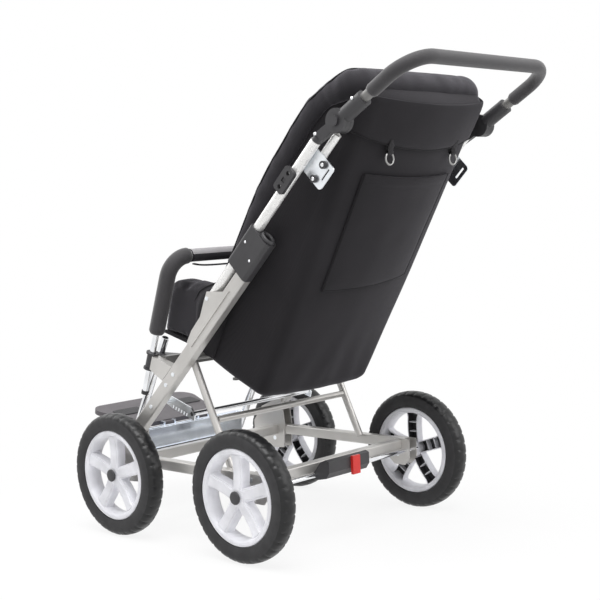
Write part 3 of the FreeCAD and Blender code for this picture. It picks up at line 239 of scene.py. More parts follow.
@dataclass(frozen=True)
class PlatedMetal:
    """Bare or plated metal, with fine marks from the tool or the bath."""

    name: str
    colour: Colour
    roughness: float
    spread: float = 0.06
    marks: float = 0.08

    def build(self) -> bpy.types.Material:
        """Make the material."""
        graph = Graph(self.name)
        colour = graph.shade(graph.cloud(35.0, 4.0), scaled(self.colour, 0.9), scaled(self.colour, 1.08))
        least, most = self.roughness - self.spread, self.roughness + self.spread
        rough = graph.level(graph.cloud(120.0, 5.0), least, most)
        graph.set(Base_Color=colour, Roughness=rough, Metallic=1.0)
        graph.bump(graph.cloud(600.0, 3.0), self.marks, 0.0003)
        return graph.material


@dataclass(frozen=True)
class MouldedPlastic:
    """Plastic from a mould with a fine spark-eroded grain."""

    name: str
    colour: Colour
    roughness: float = 0.5
    grain: float = 0.25
    grain_scale: float = 1400.0

    def build(self) -> bpy.types.Material:
        """Make the material."""
        graph = Graph(self.name)
        colour = graph.shade(graph.cloud(22.0, 3.0), scaled(self.colour, 0.88), scaled(self.colour, 1.12))
        rough = graph.level(graph.cloud(90.0, 3.0), self.roughness - 0.07, self.roughness + 0.07)
        graph.set(Base_Color=colour, Roughness=rough, Specular_IOR_Level=0.45)
        graph.bump(graph.cloud(self.grain_scale, 2.0), self.grain, 0.0003)
        return graph.material


@dataclass(frozen=True)
class SpeckledFoam:
    """Closed-cell foam: grey-black with pale specks and small pits."""

    name: str
    colour: Colour
    speck: Colour

    def build(self) -> bpy.types.Material:
        """Make the material."""
        graph = Graph(self.name)
        cells = graph.add("ShaderNodeTexVoronoi", Vector=graph.place, Scale=420.0)
        colour = graph.shade(cells.outputs[0], self.speck, self.colour, 0.04, 0.22)
        graph.set(Base_Color=colour, Roughness=0.7, Specular_IOR_Level=0.4)
        graph.set(Sheen_Weight=0.35, Sheen_Roughness=0.5)
        pits = graph.math("ADD", cells.outputs[0], graph.cloud(800.0))
        graph.bump(pits, 0.3, 0.0006)
        return graph.material


@dataclass(frozen=True)
class WovenCloth:
    """Black upholstery cloth with a fine plain weave and a soft sheen."""

    name: str
    colour: Colour
    thread: float = 260.0
    sheen: float = 0.35
    bump: float = 0.3

    def build(self) -> bpy.types.Material:
        """Make the material."""
        graph = Graph(self.name)
        threads = graph.math("ADD", graph.stripes("X", self.thread), graph.stripes("Y", self.thread))
        threads = graph.math("ADD", threads, graph.stripes("Z", self.thread))
        weave = graph.math("MULTIPLY", threads, 0.3333)
        patches = graph.math("MULTIPLY", graph.cloud(9.0, 4.0), 0.55)
        tone = graph.math("ADD", patches, graph.math("MULTIPLY", weave, 0.45))
        colour = graph.shade(tone, scaled(self.colour, 0.72), scaled(self.colour, 1.3), 0.25, 0.75)
        graph.set(Base_Color=colour, Roughness=0.85, Specular_IOR_Level=0.25)
        graph.set(Sheen_Weight=self.sheen, Sheen_Roughness=0.45, Sheen_Tint=(0.8, 0.78, 0.85, 1.0))
        creases = graph.math("MULTIPLY", graph.cloud(40.0, 5.0), 0.9)
        graph.bump(graph.math("ADD", weave, creases), self.bump, 0.0007)
        return graph.material


@dataclass(frozen=True)
class TyreRubber:
    """Dark tyre rubber, shiny on the tread and dull on the side wall."""

    name: str
    colour: Colour
    roughness: float

    def build(self) -> bpy.types.Material:
        """Make the material."""
        graph = Graph(self.name)
        colour = graph.shade(graph.cloud(30.0, 5.0), scaled(self.colour, 0.8), scaled(self.colour, 1.35))
        rough = graph.level(graph.cloud(70.0, 4.0), self.roughness - 0.1, self.roughness + 0.1)
        graph.set(Base_Color=colour, Roughness=rough, Specular_IOR_Level=0.4)
        graph.bump(graph.cloud(700.0, 4.0), 0.25, 0.0005)
        return graph.material


FINISHES = {
    "frame": PowderCoat("frame_powder_coat", (0.58, 0.565, 0.545), 0.36, 0.6),
    "upper": PowderCoat("upper_tube_coat", (0.88, 0.875, 0.865), 0.28, 0.4, 0.03),
    # Dark grey: the handle bar's own colour, and painted shade on the seat cross tubes, which sit in shadow
    # under the seat's front.
    "dark_paint_and_shade": PowderCoat("dark_coat_and_painted_shade", (0.20, 0.196, 0.19), 0.4, 0.4),
    "zinc": PlatedMetal("zinc_plate", (0.87, 0.90, 0.94), 0.3),
    "chrome": PlatedMetal("bright_chrome", (0.86, 0.87, 0.89), 0.12, 0.04, 0.03),
    "dull_steel": PlatedMetal("dull_steel", (0.36, 0.355, 0.35), 0.3),
    # The blue tint in the aluminium's colour is a painted reflection.
    "aluminium": PlatedMetal("polished_aluminium", (0.78, 0.84, 0.93), 0.16, 0.05, 0.03),
    "plastic": MouldedPlastic("dark_plastic", (0.040, 0.039, 0.042), 0.42),
    "footplate": MouldedPlastic("footplate_plastic", (0.105, 0.096, 0.104), 0.5, 0.5, 500.0),
    "rim": MouldedPlastic("rim_plastic", (0.78, 0.78, 0.82), 0.36, 0.12),
    "red": MouldedPlastic("red_tab_plastic", (0.62, 0.025, 0.02), 0.3, 0.1),
    "tyre": TyreRubber("tyre_rubber", (0.0085, 0.0085, 0.0092), 0.34),
    "sidewall": TyreRubber("tyre_sidewall", (0.026, 0.0255, 0.027), 0.62),
    "foam": SpeckledFoam("grip_foam", (0.036, 0.034, 0.037), (0.10, 0.096, 0.10)),
    "cloth": WovenCloth("black_cloth", (0.017, 0.0155, 0.0185), 260.0, 0.36),
    "panel": WovenCloth("panel_cloth", (0.0135, 0.0122, 0.0142), 340.0, 0.19, 0.2),
    # Light grey cloth for the top of the bumper cover: a painted highlight from the overhead light.
    "painted_highlight_cloth": WovenCloth("painted_highlight_cover_cloth", (0.33, 0.32, 0.33), 340.0, 0.3, 0.2),
    "piping": WovenCloth("piping_cord", (0.009, 0.0085, 0.0095), 500.0, 0.12),
    "webbing": WovenCloth("tab_webbing", (0.016, 0.015, 0.016), 420.0, 0.2, 0.6),
}
SLOTS = {
    **dict.fromkeys(("cloth", "panel", "piping", "webbing"), "black_cloth"),
    "foam": "grip_foam", "chrome": "bright_chrome", "plastic": "dark_plastic",
    "tyre": "tyre_rubber", "rim": "rim_plastic",
}


class Workshop:
    """Keeps the built finishes and turns meshes into pieces."""

    def __init__(self) -> None:
        """Start with no finishes built."""
        self.built: dict[str, bpy.types.Material] = {}

    def finish(self, key: str) -> bpy.types.Material:
        """The material of a finish, built on first use.

        Args:
            key: A key of FINISHES.

        Returns:
            The Blender material.
        """
        if key not in self.built:
            self.built[key] = FINISHES[key].build()
        return self.built[key]

    def dress(self, node: bpy.types.Object, key: str) -> None:
        """Give a CAD node's object one finish in place of its own."""
        node.data.materials.clear()
        node.data.materials.append(self.finish(key))

    def piece(self, name: str, mesh: bmesh.types.BMesh, key: str, body: str,
              slot: str = "") -> bpy.types.Object:
        """Turn a bmesh into a finished piece that rides on a body.

        Args:
            name: The piece's name.
            mesh: The shape, in the row frame, which is freed here.
            key: The finish.
            body: The CAD body that it moves with, or "" for none.
            slot: Not used.

        Returns:
            The new object.
        """
        bmesh.ops.recalc_face_normals(mesh, faces=mesh.faces)
        data = bpy.data.meshes.new(name)
        mesh.to_mesh(data)
        mesh.free()
        data.shade_smooth()
        obj = bpy.data.objects.new(name, data)
        bpy.context.scene.collection.objects.link(obj)
        data.materials.append(self.finish(key))
        if body:
            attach(obj, body)
        slot or SLOTS[key]
        LOG.info("made %s with %d faces", name, len(data.polygons))
        return obj

    def cord(self, name: str, line: Sequence[Vector], radius: float, across: Vector, body: str,
             sides: int = 8, closed: bool = False) -> None:
        """Sew a round cord along a line.

        Args:
            name: The cord's name.
            line: Places on its middle.
            radius: Its radius.
            across: A direction that doesn't run along it.
            body: The CAD body that it moves with.
            sides: Corners of its section.
            closed: Whether its end meets its start.
        """
        mesh = tube_mesh(line, lambda share: (radius, radius), sides, across, closed)
        self.piece(name, mesh, "piping", body)


def smooth_step(value: float) -> float:
    """A value of 0 to 1 eased at both ends."""
    value = max(0.0, min(1.0, value))
    return value * value * (3 - 2 * value)


def along_table(table: Sequence[Sequence[float]], at: float) -> list[float]:
    """Read a table of rows by its first column, with straight runs between the rows.

    Args:
        table: Rows that begin with a rising key.
        at: The key to read at.

    Returns:
        The row's other values.
    """
    if at <= table[0][0]:
        return list(table[0][1:])
    for low, high in zip(table, table[1:]):
        if at <= high[0]:
            share = (at - low[0]) / (high[0] - low[0])
            return [a + (b - a) * share for a, b in zip(low[1:], high[1:])]
    return list(table[-1][1:])


def curve_through(points: Sequence[Vector], count: int) -> list[Vector]:
    """Places along a smooth line through some points.

    Args:
        points: The points to pass through.
        count: How many places to give.

    Returns:
        Places that start and end at the first and last point.
    """
    found = []
    spans = len(points) - 1
    for index in range(count):
        place = index / (count - 1) * spans
        span = min(int(place), spans - 1)
        t = place - span
        before, start = points[max(span - 1, 0)], points[span]
        end, after = points[span + 1], points[min(span + 2, spans)]
        squared = 2 * before - 5 * start + 4 * end - after
        cubed = 3 * start - before - 3 * end + after
        found.append(0.5 * (2 * start + (end - before) * t + squared * t * t + cubed * t ** 3))
    return found


def ripple(place: Vector, scale: float, seed: float) -> float:
    """Smooth noise from -1 to 1 at a place."""
    return noise.noise(place * scale + Vector((seed, seed * 0.37, -seed)))


def sheet_mesh(columns: int, rows: int, place: Callable[[float, float], Vector]) -> bmesh.types.BMesh:
    """A grid shaped by a rule.

    Args:
        columns: Faces across.
        rows: Faces up.
        place: Turns across and up, each -1 to 1, into a place.

    Returns:
        The open mesh.
    """
    mesh = bmesh.new()
    bmesh.ops.create_grid(mesh, x_segments=columns, y_segments=rows, size=1.0)
    for vert in mesh.verts:
        vert.co = place(vert.co.x, vert.co.y)
    return mesh


def block_mesh(cuts: tuple[int, int, int], place: Place) -> bmesh.types.BMesh:
    """A closed block, cut finely and shaped by a rule.

    Args:
        cuts: Cuts across each of the block's axes.
        place: Turns three coordinates, each -1 to 1, into a place.

    Returns:
        The closed mesh.
    """
    mesh = bmesh.new()
    bmesh.ops.create_cube(mesh, size=2.0)
    for axis in range(3):
        runs = [e for e in mesh.edges if abs((e.verts[0].co - e.verts[1].co)[axis]) > 1e-4]
        bmesh.ops.subdivide_edges(mesh, edges=runs, cuts=cuts[axis], use_grid_fill=True)
    for vert in mesh.verts:
        vert.co = place(*vert.co)
    return mesh


def mirrored(half: Sequence[tuple[float, float]]) -> tuple[tuple[float, float], ...]:
    """One half of an outline, followed by the same half mirrored in its first value."""
    return tuple(half) + tuple((-across, level) for across, level in reversed(half))


def spun(mesh: bmesh.types.BMesh, outline: Sequence[Vector], centre: Vector, steps: int,
         closed: bool = False) -> None:
    """Turn an outline about a line across the chair.

    Args:
        mesh: The mesh to add to.
        outline: Places on the outline.
        centre: A place on the line.
        steps: Faces round the turn.
        closed: Whether the outline's end meets its start.
    """
    verts = [mesh.verts.new(spot) for spot in outline]
    ends = verts[1:] + verts[:1] if closed else verts[1:]
    edges = [mesh.edges.new(pair) for pair in zip(verts, ends)]
    bmesh.ops.spin(mesh, geom=verts + edges, cent=centre, axis=(1, 0, 0), angle=math.tau,
                   steps=steps, use_merge=True)


def grow(mesh: bmesh.types.BMesh, edges: list) -> tuple[list, list]:
    """Extrude edges once.

    Args:
        mesh: The mesh.
        edges: The edges to extrude.

    Returns:
        The new vertices, and the new edges between them.
    """
    made = bmesh.ops.extrude_edge_only(mesh, edges=edges)["geom"]
    verts = [g for g in made if isinstance(g, bmesh.types.BMVert)]
    return verts, [g for g in made if isinstance(g, bmesh.types.BMEdge) and all(v in verts for v in g.verts)]


def skin(mesh: bmesh.types.BMesh, rows: Sequence[Sequence[Vector]]) -> tuple[list[list], list]:
    """Draw a hollow length through rows of places, by extruding its first row.

    Args:
        mesh: The mesh to add to.
        rows: Rows of places that each go once round it.

    Returns:
        The vertices of each row, and the edges of the last row.
    """
    verts = [mesh.verts.new(spot) for spot in rows[0]]
    edges = [mesh.edges.new(pair) for pair in zip(verts, verts[1:] + verts[:1])]
    rings = [verts]
    for row in rows[1:]:
        fresh, edges = grow(mesh, edges)
        ring = [next(e.other_vert(vert) for e in vert.link_edges if e.other_vert(vert) in fresh)
                for vert in rings[-1]]
        for vert, spot in zip(ring, row):
            vert.co = spot
        rings.append(ring)
    return rings, edges


def soft_ends(radius: float, least: float, length: float) -> Callable[[float], tuple[float, float]]:
    """A rule for a round tube that narrows at both ends.

    Args:
        radius: The tube's radius.
        least: The share of the radius that is left at the ends.
        length: The share of the length over which it narrows.

    Returns:
        A rule that turns the share of the length into two half widths.
    """
    def ring(share: float) -> tuple[float, float]:
        size = radius * (least + (1 - least) * smooth_step(min(share, 1 - share) / length))
        return size, size

    return ring


def tube_mesh(line: Sequence[Vector], ring: Callable[[float], tuple[float, float]], sides: int,
              across: Vector, closed: bool = False) -> bmesh.types.BMesh:
    """A tube along a line, drawn ring by ring.

    Args:
        line: Places on the tube's middle.
        ring: Turns the share of the length into two half widths.
        sides: Corners of each ring.
        across: The direction that the first half width leans towards.
        closed: Whether the line's end meets its start.

    Returns:
        The closed mesh.
    """
    rows, count = [], len(line)
    angles = [math.pi / 2 + math.tau * n / sides for n in range(sides)]
    for index, middle in enumerate(line):
        before = line[index - 1] if index or closed else line[0]
        after = line[(index + 1) % count] if index < count - 1 or closed else line[-1]
        run = (after - before).normalized()
        lean = (across - run * across.dot(run)).normalized()
        other = run.cross(lean)
        wide, tall = ring(index / (count - 1))
        rows.append([middle + lean * (wide * math.cos(angle)) + other * (tall * math.sin(angle))
                     for angle in angles])
    mesh = bmesh.new()
    rings, edges = skin(mesh, rows)
    if closed:
        start = [e for e in mesh.edges if all(v in rings[0] for v in e.verts)]
        bmesh.ops.bridge_loops(mesh, edges=edges + start)
    else:
        for verts in (rings[0], rings[-1]):
            bmesh.ops.contextual_create(mesh, geom=verts)
    return mesh


def arc_route(points: Sequence[Vector], bend: float, steps: int = 10) -> list[Vector]:
    """Straight runs with rounded corners.

    Args:
        points: The corners of the route.
        bend: The radius of each corner.
        steps: Places on each corner.

    Returns:
        Places along the route.
    """
    route = [points[0]]
    for before, corner, after in zip(points, points[1:], points[2:]):
        back, ahead = (before - corner).normalized(), (after - corner).normalized()
        half = back.angle(ahead) / 2
        centre = corner + (back + ahead).normalized() * (bend / math.sin(half))
        reach = bend / math.tan(half)
        start, end = corner + back * reach, corner + ahead * reach
        turn = (start - centre).rotation_difference(end - centre)
        for step in range(steps + 1):
            share = turn.copy()
            share.angle = turn.angle * step / steps
            route.append(centre + share @ (start - centre))
    route.append(points[-1])
    return route


def evenly(route: Sequence[Vector], gap: float) -> list[Vector]:
    """Places along a route at an even gap.

    Args:
        route: The route's places.
        gap: The gap wanted.

    Returns:
        Places from its start to its end.
    """
    lengths = [0.0]
    for start, end in zip(route, route[1:]):
        lengths.append(lengths[-1] + (end - start).length)
    count = max(2, round(lengths[-1] / gap) + 1)
    found, span = [], 0
    for index in range(count):
        at = lengths[-1] * index / (count - 1)
        while span < len(route) - 2 and lengths[span + 1] < at:
            span += 1
        share = (at - lengths[span]) / max(lengths[span + 1] - lengths[span], 1e-9)
        found.append(route[span].lerp(route[span + 1], share))
    return found


STUFFING_PRESSURE = 4.0
STUFFING_FRAMES = 20


def stuff(obj: bpy.types.Object, voxel: float, cap: float) -> None:
    """Blow a padded piece up with a short cloth run and keep the result.

    Args:
        obj: The piece, a closed mesh at the origin.
        voxel: The remesh size in metres.
        cap: The furthest that a point may move, in metres.
    """
    data = obj.data
    remesh = obj.modifiers.new("even", "REMESH")
    remesh.mode, remesh.voxel_size = "VOXEL", voxel
    keep_evaluated(obj)
    rest = [v.co.copy() for v in obj.data.vertices]
    cloth = obj.modifiers.new("stuffing", "CLOTH")
    settings = cloth.settings
    settings.quality, settings.mass = 4, 0.3
    settings.tension_stiffness = settings.compression_stiffness = 12.0
    settings.use_pressure, settings.uniform_pressure_force = True, STUFFING_PRESSURE
    settings.effector_weights.gravity = 0.0
    cloth.collision_settings.use_collision = False
    scene = bpy.context.scene
    cloth.point_cache.frame_start, cloth.point_cache.frame_end = 1, STUFFING_FRAMES
    for number in range(1, STUFFING_FRAMES + 1):
        scene.frame_set(number)
    keep_evaluated(obj)
    scene.frame_set(1)
    for vert, place in zip(obj.data.vertices, rest):
        move = vert.co - place
        if move.length > cap:
            vert.co = place + move.normalized() * cap
    bpy.data.meshes.remove(data)


def keep_evaluated(obj: bpy.types.Object) -> None:
    """Make what the modifiers show the piece's own mesh, and clear them."""
    graph = bpy.context.evaluated_depsgraph_get()
    graph.update()
    made = bpy.data.meshes.new_from_object(obj.evaluated_get(graph))
    made.shade_smooth()
    obj.modifiers.clear()
    obj.data = made


def subdivide(obj: bpy.types.Object, levels: int = 1) -> None:
    """Smooth a piece with a live subdivision surface."""
    modifier = obj.modifiers.new("smooth", "SUBSURF")
    modifier.levels = modifier.render_levels = levels


@dataclass(frozen=True)
class Slope:
    """A plane that leans in the side view, on which pieces are set out."""

    foot_y: float
    foot_z: float
    rise: float

    def at(self, x: float, along: float, off: float) -> Vector:
        """A place on the plane or off it.

        Args:
            x: The place across the chair.
            along: The distance along the plane from its foot, upwards or to the rear.
            off: The distance square to the plane, forwards or upwards.

        Returns:
            The place in the row frame.
        """
        cos, sin = math.cos(self.rise), math.sin(self.rise)
        return Vector((x, self.foot_y + along * cos - off * sin, self.foot_z + along * sin + off * cos))

    def way(self, x: float, along: float, off: float) -> Vector:
        """A move by the same three distances."""
        return self.at(x, along, off) - self.at(0, 0, 0)

    def along(self, place: Vector) -> float:
        """How far along the plane a place lies."""
        away = place - self.at(0, 0, 0)
        return away.y * math.cos(self.rise) + away.z * math.sin(self.rise)


BACK = Slope(0.065, 0.354, math.radians(60.2))
SEAT = Slope(-0.238, 0.490, math.radians(-15.5))
UPPER = Slope(-0.0094, 0.5833, math.radians(44.3))


@dataclass
class Bucket:
    """The cloth shell of the seat: its rear panel, its two sides and the tub under the seat.

    Each row of outline is a height up the back, the depth of the sides, the half width at
    the rear corners and at the front edges, and how far the rear panel bows out.
    """

    outline: tuple = (
        (0.000, 0.160, 0.192, 0.2065, 0.010),
        (0.060, 0.166, 0.194, 0.2075, 0.016),
        (0.190, 0.176, 0.196, 0.215, 0.026),
        (0.250, 0.172, 0.198, 0.220, 0.030),
        (0.314, 0.168, 0.200, 0.221, 0.033),
        (0.412, 0.164, 0.201, 0.221, 0.035),
        (0.498, 0.153, 0.202, 0.221, 0.036),
        (0.585, 0.132, 0.203, 0.221, 0.035),
        (0.670, 0.111, 0.204, 0.220, 0.034),
        (0.752, 0.058, 0.205, 0.217, 0.030),
    )
    bow_half: float = 0.198
    stand_off: float = 0.005
    corner: float = 0.026
    corner_start: float = 0.50
    corner_end: float = 0.58
    foot_round: float = 0.024
    foot_share: float = 0.12
    foot: float = -0.010
    cloth: float = 0.004
    fold_height: float = 0.0014
    pull_height: float = 0.0008
    bend_from: float = 0.19
    bend_to: float = 0.36
    piping: float = 0.0024
    columns: int = 108
    rows: int = 84

    def rear_face(self, x: float, up: float) -> float:
        """How far forward of the back's plane the bowed rear panel lies."""
        bow = along_table(self.outline, up)[3]
        return -bow * (1 - (x / self.bow_half) ** 2) - self.stand_off

    def section(self, across: float, up: float) -> Vector:
        """A place on the shell's outer face.

        Args:
            across: -1 at the right front edge, 0 behind the middle, 1 at the left front edge.
            up: The height up the back.

        Returns:
            The place in the row frame.
        """
        depth, rear, front, _ = along_table(self.outline, up)
        sign, share = math.copysign(1.0, across), abs(across)
        flat = rear - self.corner
        if share < self.corner_start:
            x = flat * share / self.corner_start
            forward = self.rear_face(x, up)
        elif share < self.corner_end:
            t = (share - self.corner_start) / (self.corner_end - self.corner_start)
            edge = self.rear_face(flat, up)
            x = flat * (1 - t) ** 2 + (rear + 0.001) * 2 * t * (1 - t) + rear * t * t
            forward = edge * (1 - t) ** 2 + (edge * 0.6) * 2 * t * (1 - t) + self.corner * t * t
        else:
            t = (share - self.corner_end) / (1 - self.corner_end)
            x = rear + (front - rear) * t + 0.003 * math.sin(math.pi * t)
            forward = self.corner + (depth - self.corner) * t
        return BACK.at(sign * x, up, forward)

    def folds(self, across: float, up: float, place: Vector) -> float:
        """How far loose cloth stands off at a place: long soft folds and pulls to the corners."""
        loose = 1.0 - smooth_step((up - 0.05) / 0.5) * 0.6
        stretched = Vector((place.x * 0.8, place.y * 0.35, place.z * 0.35))
        swell = self.fold_height * loose * ripple(stretched, 16.0, 3.1)
        pull = self.pull_height * math.sin(26 * (abs(across) + up * 0.6))
        pull *= math.exp(-((up - 0.07) / 0.09) ** 2)
        return swell + pull * smooth_step(abs(abs(across) - self.corner_start) * 6)

    def build(self, shop: Workshop) -> None:
        """Make the shell and close the tub's floor."""
        top = self.outline[-1][0]

        def place(across: float, level: float) -> Vector:
            share = (level + 1) / 2
            turn = min(share / self.foot_share, 1.0) * math.pi / 2
            inset = self.foot_round * (1 - math.sin(turn))
            up = self.foot + self.foot_round * (1 - math.cos(turn))
            if share > self.foot_share:
                climb = (share - self.foot_share) / (1 - self.foot_share)
                up += climb * (top - self.foot_round - self.foot)
            spot = self.section(across, up)
            middle = BACK.at(0, up, 0.08)
            spot = middle + (spot - middle) * (1 - inset / 0.16)
            return spot + BACK.way(0, 0, -self.folds(across, up, spot))

        mesh = sheet_mesh(self.columns, self.rows, place)
        low = [e for e in mesh.edges
               if e.is_boundary and max(BACK.along(v.co) for v in e.verts) < self.foot + 0.0001]
        middle = BACK.at(0, self.foot - 0.006, 0.09)
        for shrink in (0.82, 0.45):
            verts, low = grow(mesh, low)
            for vert in verts:
                vert.co = middle + (vert.co - middle) * shrink
        bmesh.ops.contextual_create(mesh, geom=list({v for e in low for v in e.verts}))
        bmesh.ops.triangulate(mesh, faces=[f for f in mesh.faces if len(f.verts) > 4])
        shell = shop.piece("bucket_shell", mesh, "panel", "")
        wall = shell.modifiers.new("cloth", "SOLIDIFY")
        wall.thickness, wall.offset = self.cloth, -1.0
        keep_evaluated(shell)
        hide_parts("seat_cover", "back_cover")
        BACK.at(0, self.bend_from, 0.05)
        BACK.at(0, self.bend_to, 0.05)
        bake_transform(shell)
        self.top_panel(shop, top)
        for side in Side:
            self.side_panel(shop, side)

    def top_panel(self, shop: Workshop, top: float) -> None:
        """Close the back's top, from the shell's upper edge to the padded roll.

        Args:
            shop: The workshop.
            top: The height of the shell's upper edge.
        """
        def place(a: float, b: float, c: float) -> Vector:
            share = (b + 1) / 2
            edge = self.section(a * 0.70, top - 0.004)
            roll = BACK.at(edge.x * 0.97, top + 0.016, 0.034)
            rise = 0.005 * math.sin(math.pi * share) + c * 0.0018
            return edge.lerp(roll, share) + BACK.way(0, rise, 0)

        panel = shop.piece("top_panel", block_mesh((60, 8, 1), place), "panel", "push_frame")

    def side_panel(self, shop: Workshop, side: Side) -> None:
        """The cloth panel that closes one side between the tub and the seat's cheek.

        Args:
            shop: The workshop.
            side: The side of the chair.
        """
        seam = ((-0.012, 0.238), (0.040, 0.249), (0.100, 0.266), (0.129, 0.260), (0.150, 0.244),
                (0.175, 0.218), (0.205, 0.186))
        rear, top = 0.148, seam[-1][0]

        def place(a: float, b: float, c: float) -> Vector:
            low = 0.008 - 0.010 * (a + 1)
            up = low + (b + 1) / 2 * (top - low)
            forward = rear + (a + 1) / 2 * (along_table(seam, up)[0] - rear)
            half = along_table(self.outline, up)[2]
            rim = 1 - 0.6 * max(abs(a), abs(b)) ** 12
            swell = self.fold_height * ripple(Vector((forward, up, 0)), 18.0, 4.0) * (1 - a * a) * (1 - b * b)
            bend = 0.0062 * smooth_step((a - 0.55) / 0.45)
            x = half + 0.0032 - bend + c * 0.0020 * rim + swell
            return BACK.at(side.value * x, up, forward)

        mesh = block_mesh((24, 30, 1), place)
        panel = shop.piece(f"side_panel_{side.word}", mesh, "panel", "chassis")
        subdivide(panel)
        line = [place(1.0, n / 20 - 1, 0.8) for n in range(41)]
        shop.cord(f"side_piping_{side.word}", line, self.piping, Vector((1, 0, 0)), "chassis")


@dataclass
class PaddedRim:
    """The stuffed roll that runs up both front edges of the bucket and over the head."""

    side_path: tuple = (
        (0.2185, 0.198, 0.174), (0.2200, 0.250, 0.170), (0.2205, 0.307, 0.167), (0.2210, 0.370, 0.164),
        (0.2210, 0.434, 0.160), (0.2210, 0.498, 0.151), (0.2210, 0.560, 0.137), (0.2210, 0.626, 0.122),
        (0.2200, 0.676, 0.106), (0.2165, 0.716, 0.082), (0.2060, 0.742, 0.060), (0.1820, 0.754, 0.046),
        (0.1100, 0.758, 0.040),
    )
    middle: tuple = (0.0, 0.758, 0.040)
    side_half: tuple = (0.024, 0.0132)
    top_half: tuple = (0.037, 0.0337)
    top_start: float = 0.325
    top_ease: float = 0.095
    end_ease: float = 0.025
    end_share: float = 0.35
    piping: float = 0.0022
    stations: int = 190

    def build(self, shop: Workshop) -> None:
        """Sweep the roll, gather its cloth and add the piping along its edge."""
        half = [BACK.at(*spot) for spot in self.side_path]
        other = [Vector((-p.x, p.y, p.z)) for p in reversed(half)]
        line = curve_through(half + [BACK.at(*self.middle)] + other, self.stations)
        ahead = BACK.way(0, 0, 1)

        def ring(share: float) -> tuple[float, float]:
            end = min(share, 1 - share)
            top = smooth_step((end - self.top_start) / self.top_ease)
            size = self.end_share + (1 - self.end_share) * smooth_step(end / self.end_ease)
            wide, tall = (low + (high - low) * top for low, high in zip(self.side_half, self.top_half))
            return wide * size, tall * size

        mesh = tube_mesh(line, ring, 28, ahead)
        for vert in mesh.verts:
            nearest = min(range(0, len(line), 3), key=lambda n: (line[n] - vert.co).length_squared)
            out = vert.co - line[nearest]
            gather = math.sin(nearest * 1.35 + 2.2 * ripple(vert.co, 20.0, 1.0)) * 0.0011
            gather += 0.0016 * ripple(vert.co, 28.0, 5.0)
            if out.length > 1e-5:
                vert.co += out.normalized() * gather
        roll = shop.piece("padded_rim", mesh, "cloth", "push_frame")
        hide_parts("back_wings")
        subdivide(roll)
        edge, middle = [], BACK.at(0, 0.45, 0.10)
        for index in range(3, len(line) - 3):
            wide, tall = ring(index / (len(line) - 1))
            run = (line[index + 1] - line[index - 1]).normalized()
            lean = (ahead - run * ahead.dot(run)).normalized()
            out = run.cross(lean)
            out = out if out.dot(line[index] - middle) > 0 else -out
            edge.append(line[index] + lean * (wide * 0.66) + out * (tall * 0.75))
        shop.cord("rim_piping", edge, self.piping, ahead, "push_frame")


@dataclass
class Pad:
    """A stuffed cushion set out on a plane, with a crowned face and sewn channels."""

    name: str
    nodes: tuple[str, ...]
    body: str
    place: Place
    half_u: float
    middle_v: float
    half_v: float
    low: float
    high: float
    channels: tuple[float, ...] = ()
    cap: float = 0.007
    fill: float = 0.7
    crown: float = 0.12
    waist: float = 0.018
    groove_width: float = 0.045
    groove_depth: float = 0.28
    voxel: float = 0.006
    piping: float = 0.0022
    cuts: tuple[int, int, int] = (22, 22, 6)

    def shape(self, a: float, b: float, c: float) -> Vector:
        """A place in the cushion before it is stuffed.

        Args:
            a: -1 to 1 across it.
            b: -1 to 1 along it.
            c: -1 to 1 through it.

        Returns:
            The place in the row frame.
        """
        round_off = 1 - 0.075 * (abs(a) * abs(b)) ** 8
        waist_a = 1 - self.waist * (1 - b * b)
        waist_b = 1 - self.waist * (1 - a * a)
        rim = 1 - 0.42 * max(abs(a), abs(b)) ** 10
        middle, half = (self.low + self.high) / 2, (self.high - self.low) / 2
        crown = self.crown * half * (1 - a * a) * (1 - b * b) if c > 0 else 0.0
        groove = sum(math.exp(-((b - spot) / self.groove_width) ** 2) for spot in self.channels)
        depth = c * half * rim * (1 - (self.groove_depth * groove if c > 0 else 0.0))
        pull = 1 - 0.03 * abs(c) ** 4
        u = a * self.half_u * round_off * waist_a * pull
        v = self.middle_v + b * self.half_v * round_off * waist_b * pull
        return self.place(u, v, middle + depth + crown)

    def build(self, shop: Workshop) -> None:
        """Make the cushion, stuff it and cord its edge."""
        mesh = block_mesh(self.cuts, self.shape)
        pad = shop.piece(self.name, mesh, "cloth", self.body)
        stuff(pad, self.voxel, self.cap)
        subdivide(pad)
        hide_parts(*self.nodes)
        self.cord_edge(shop)

    def cord_edge(self, shop: Workshop) -> None:
        """Piping round the cushion's upper edge."""
        steps = [n / 18 - 1 for n in range(36)]
        ring = [(t, -1.0) for t in steps] + [(1.0, t) for t in steps]
        ring += [(-a, -b) for a, b in ring]
        line = [self.shape(a, b, 0.72) for a, b in ring]
        above = self.place(0, 0, 1) - self.place(0, 0, 0)
        shop.cord(f"{self.name}_piping", line, self.piping, above, self.body, closed=True)


def upholstery() -> Iterable[Pad]:
    """The cushions of the seat and the back."""
    yield Pad("seat_pad", ("seat_cushion",), "chassis", SEAT.at, 0.150, 0.129, 0.128, 0.010, 0.062,
              (-0.35, 0.3))
    yield Pad("lower_pad", ("lower_back_pad",), "chassis", BACK.at, 0.184, 0.202, 0.079, 0.006, 0.047)
    yield Pad("upper_pad", ("back_pad",), "push_frame", BACK.at, 0.190, 0.506, 0.212, 0.006, 0.047,
              (-0.5, 0.0, 0.5))


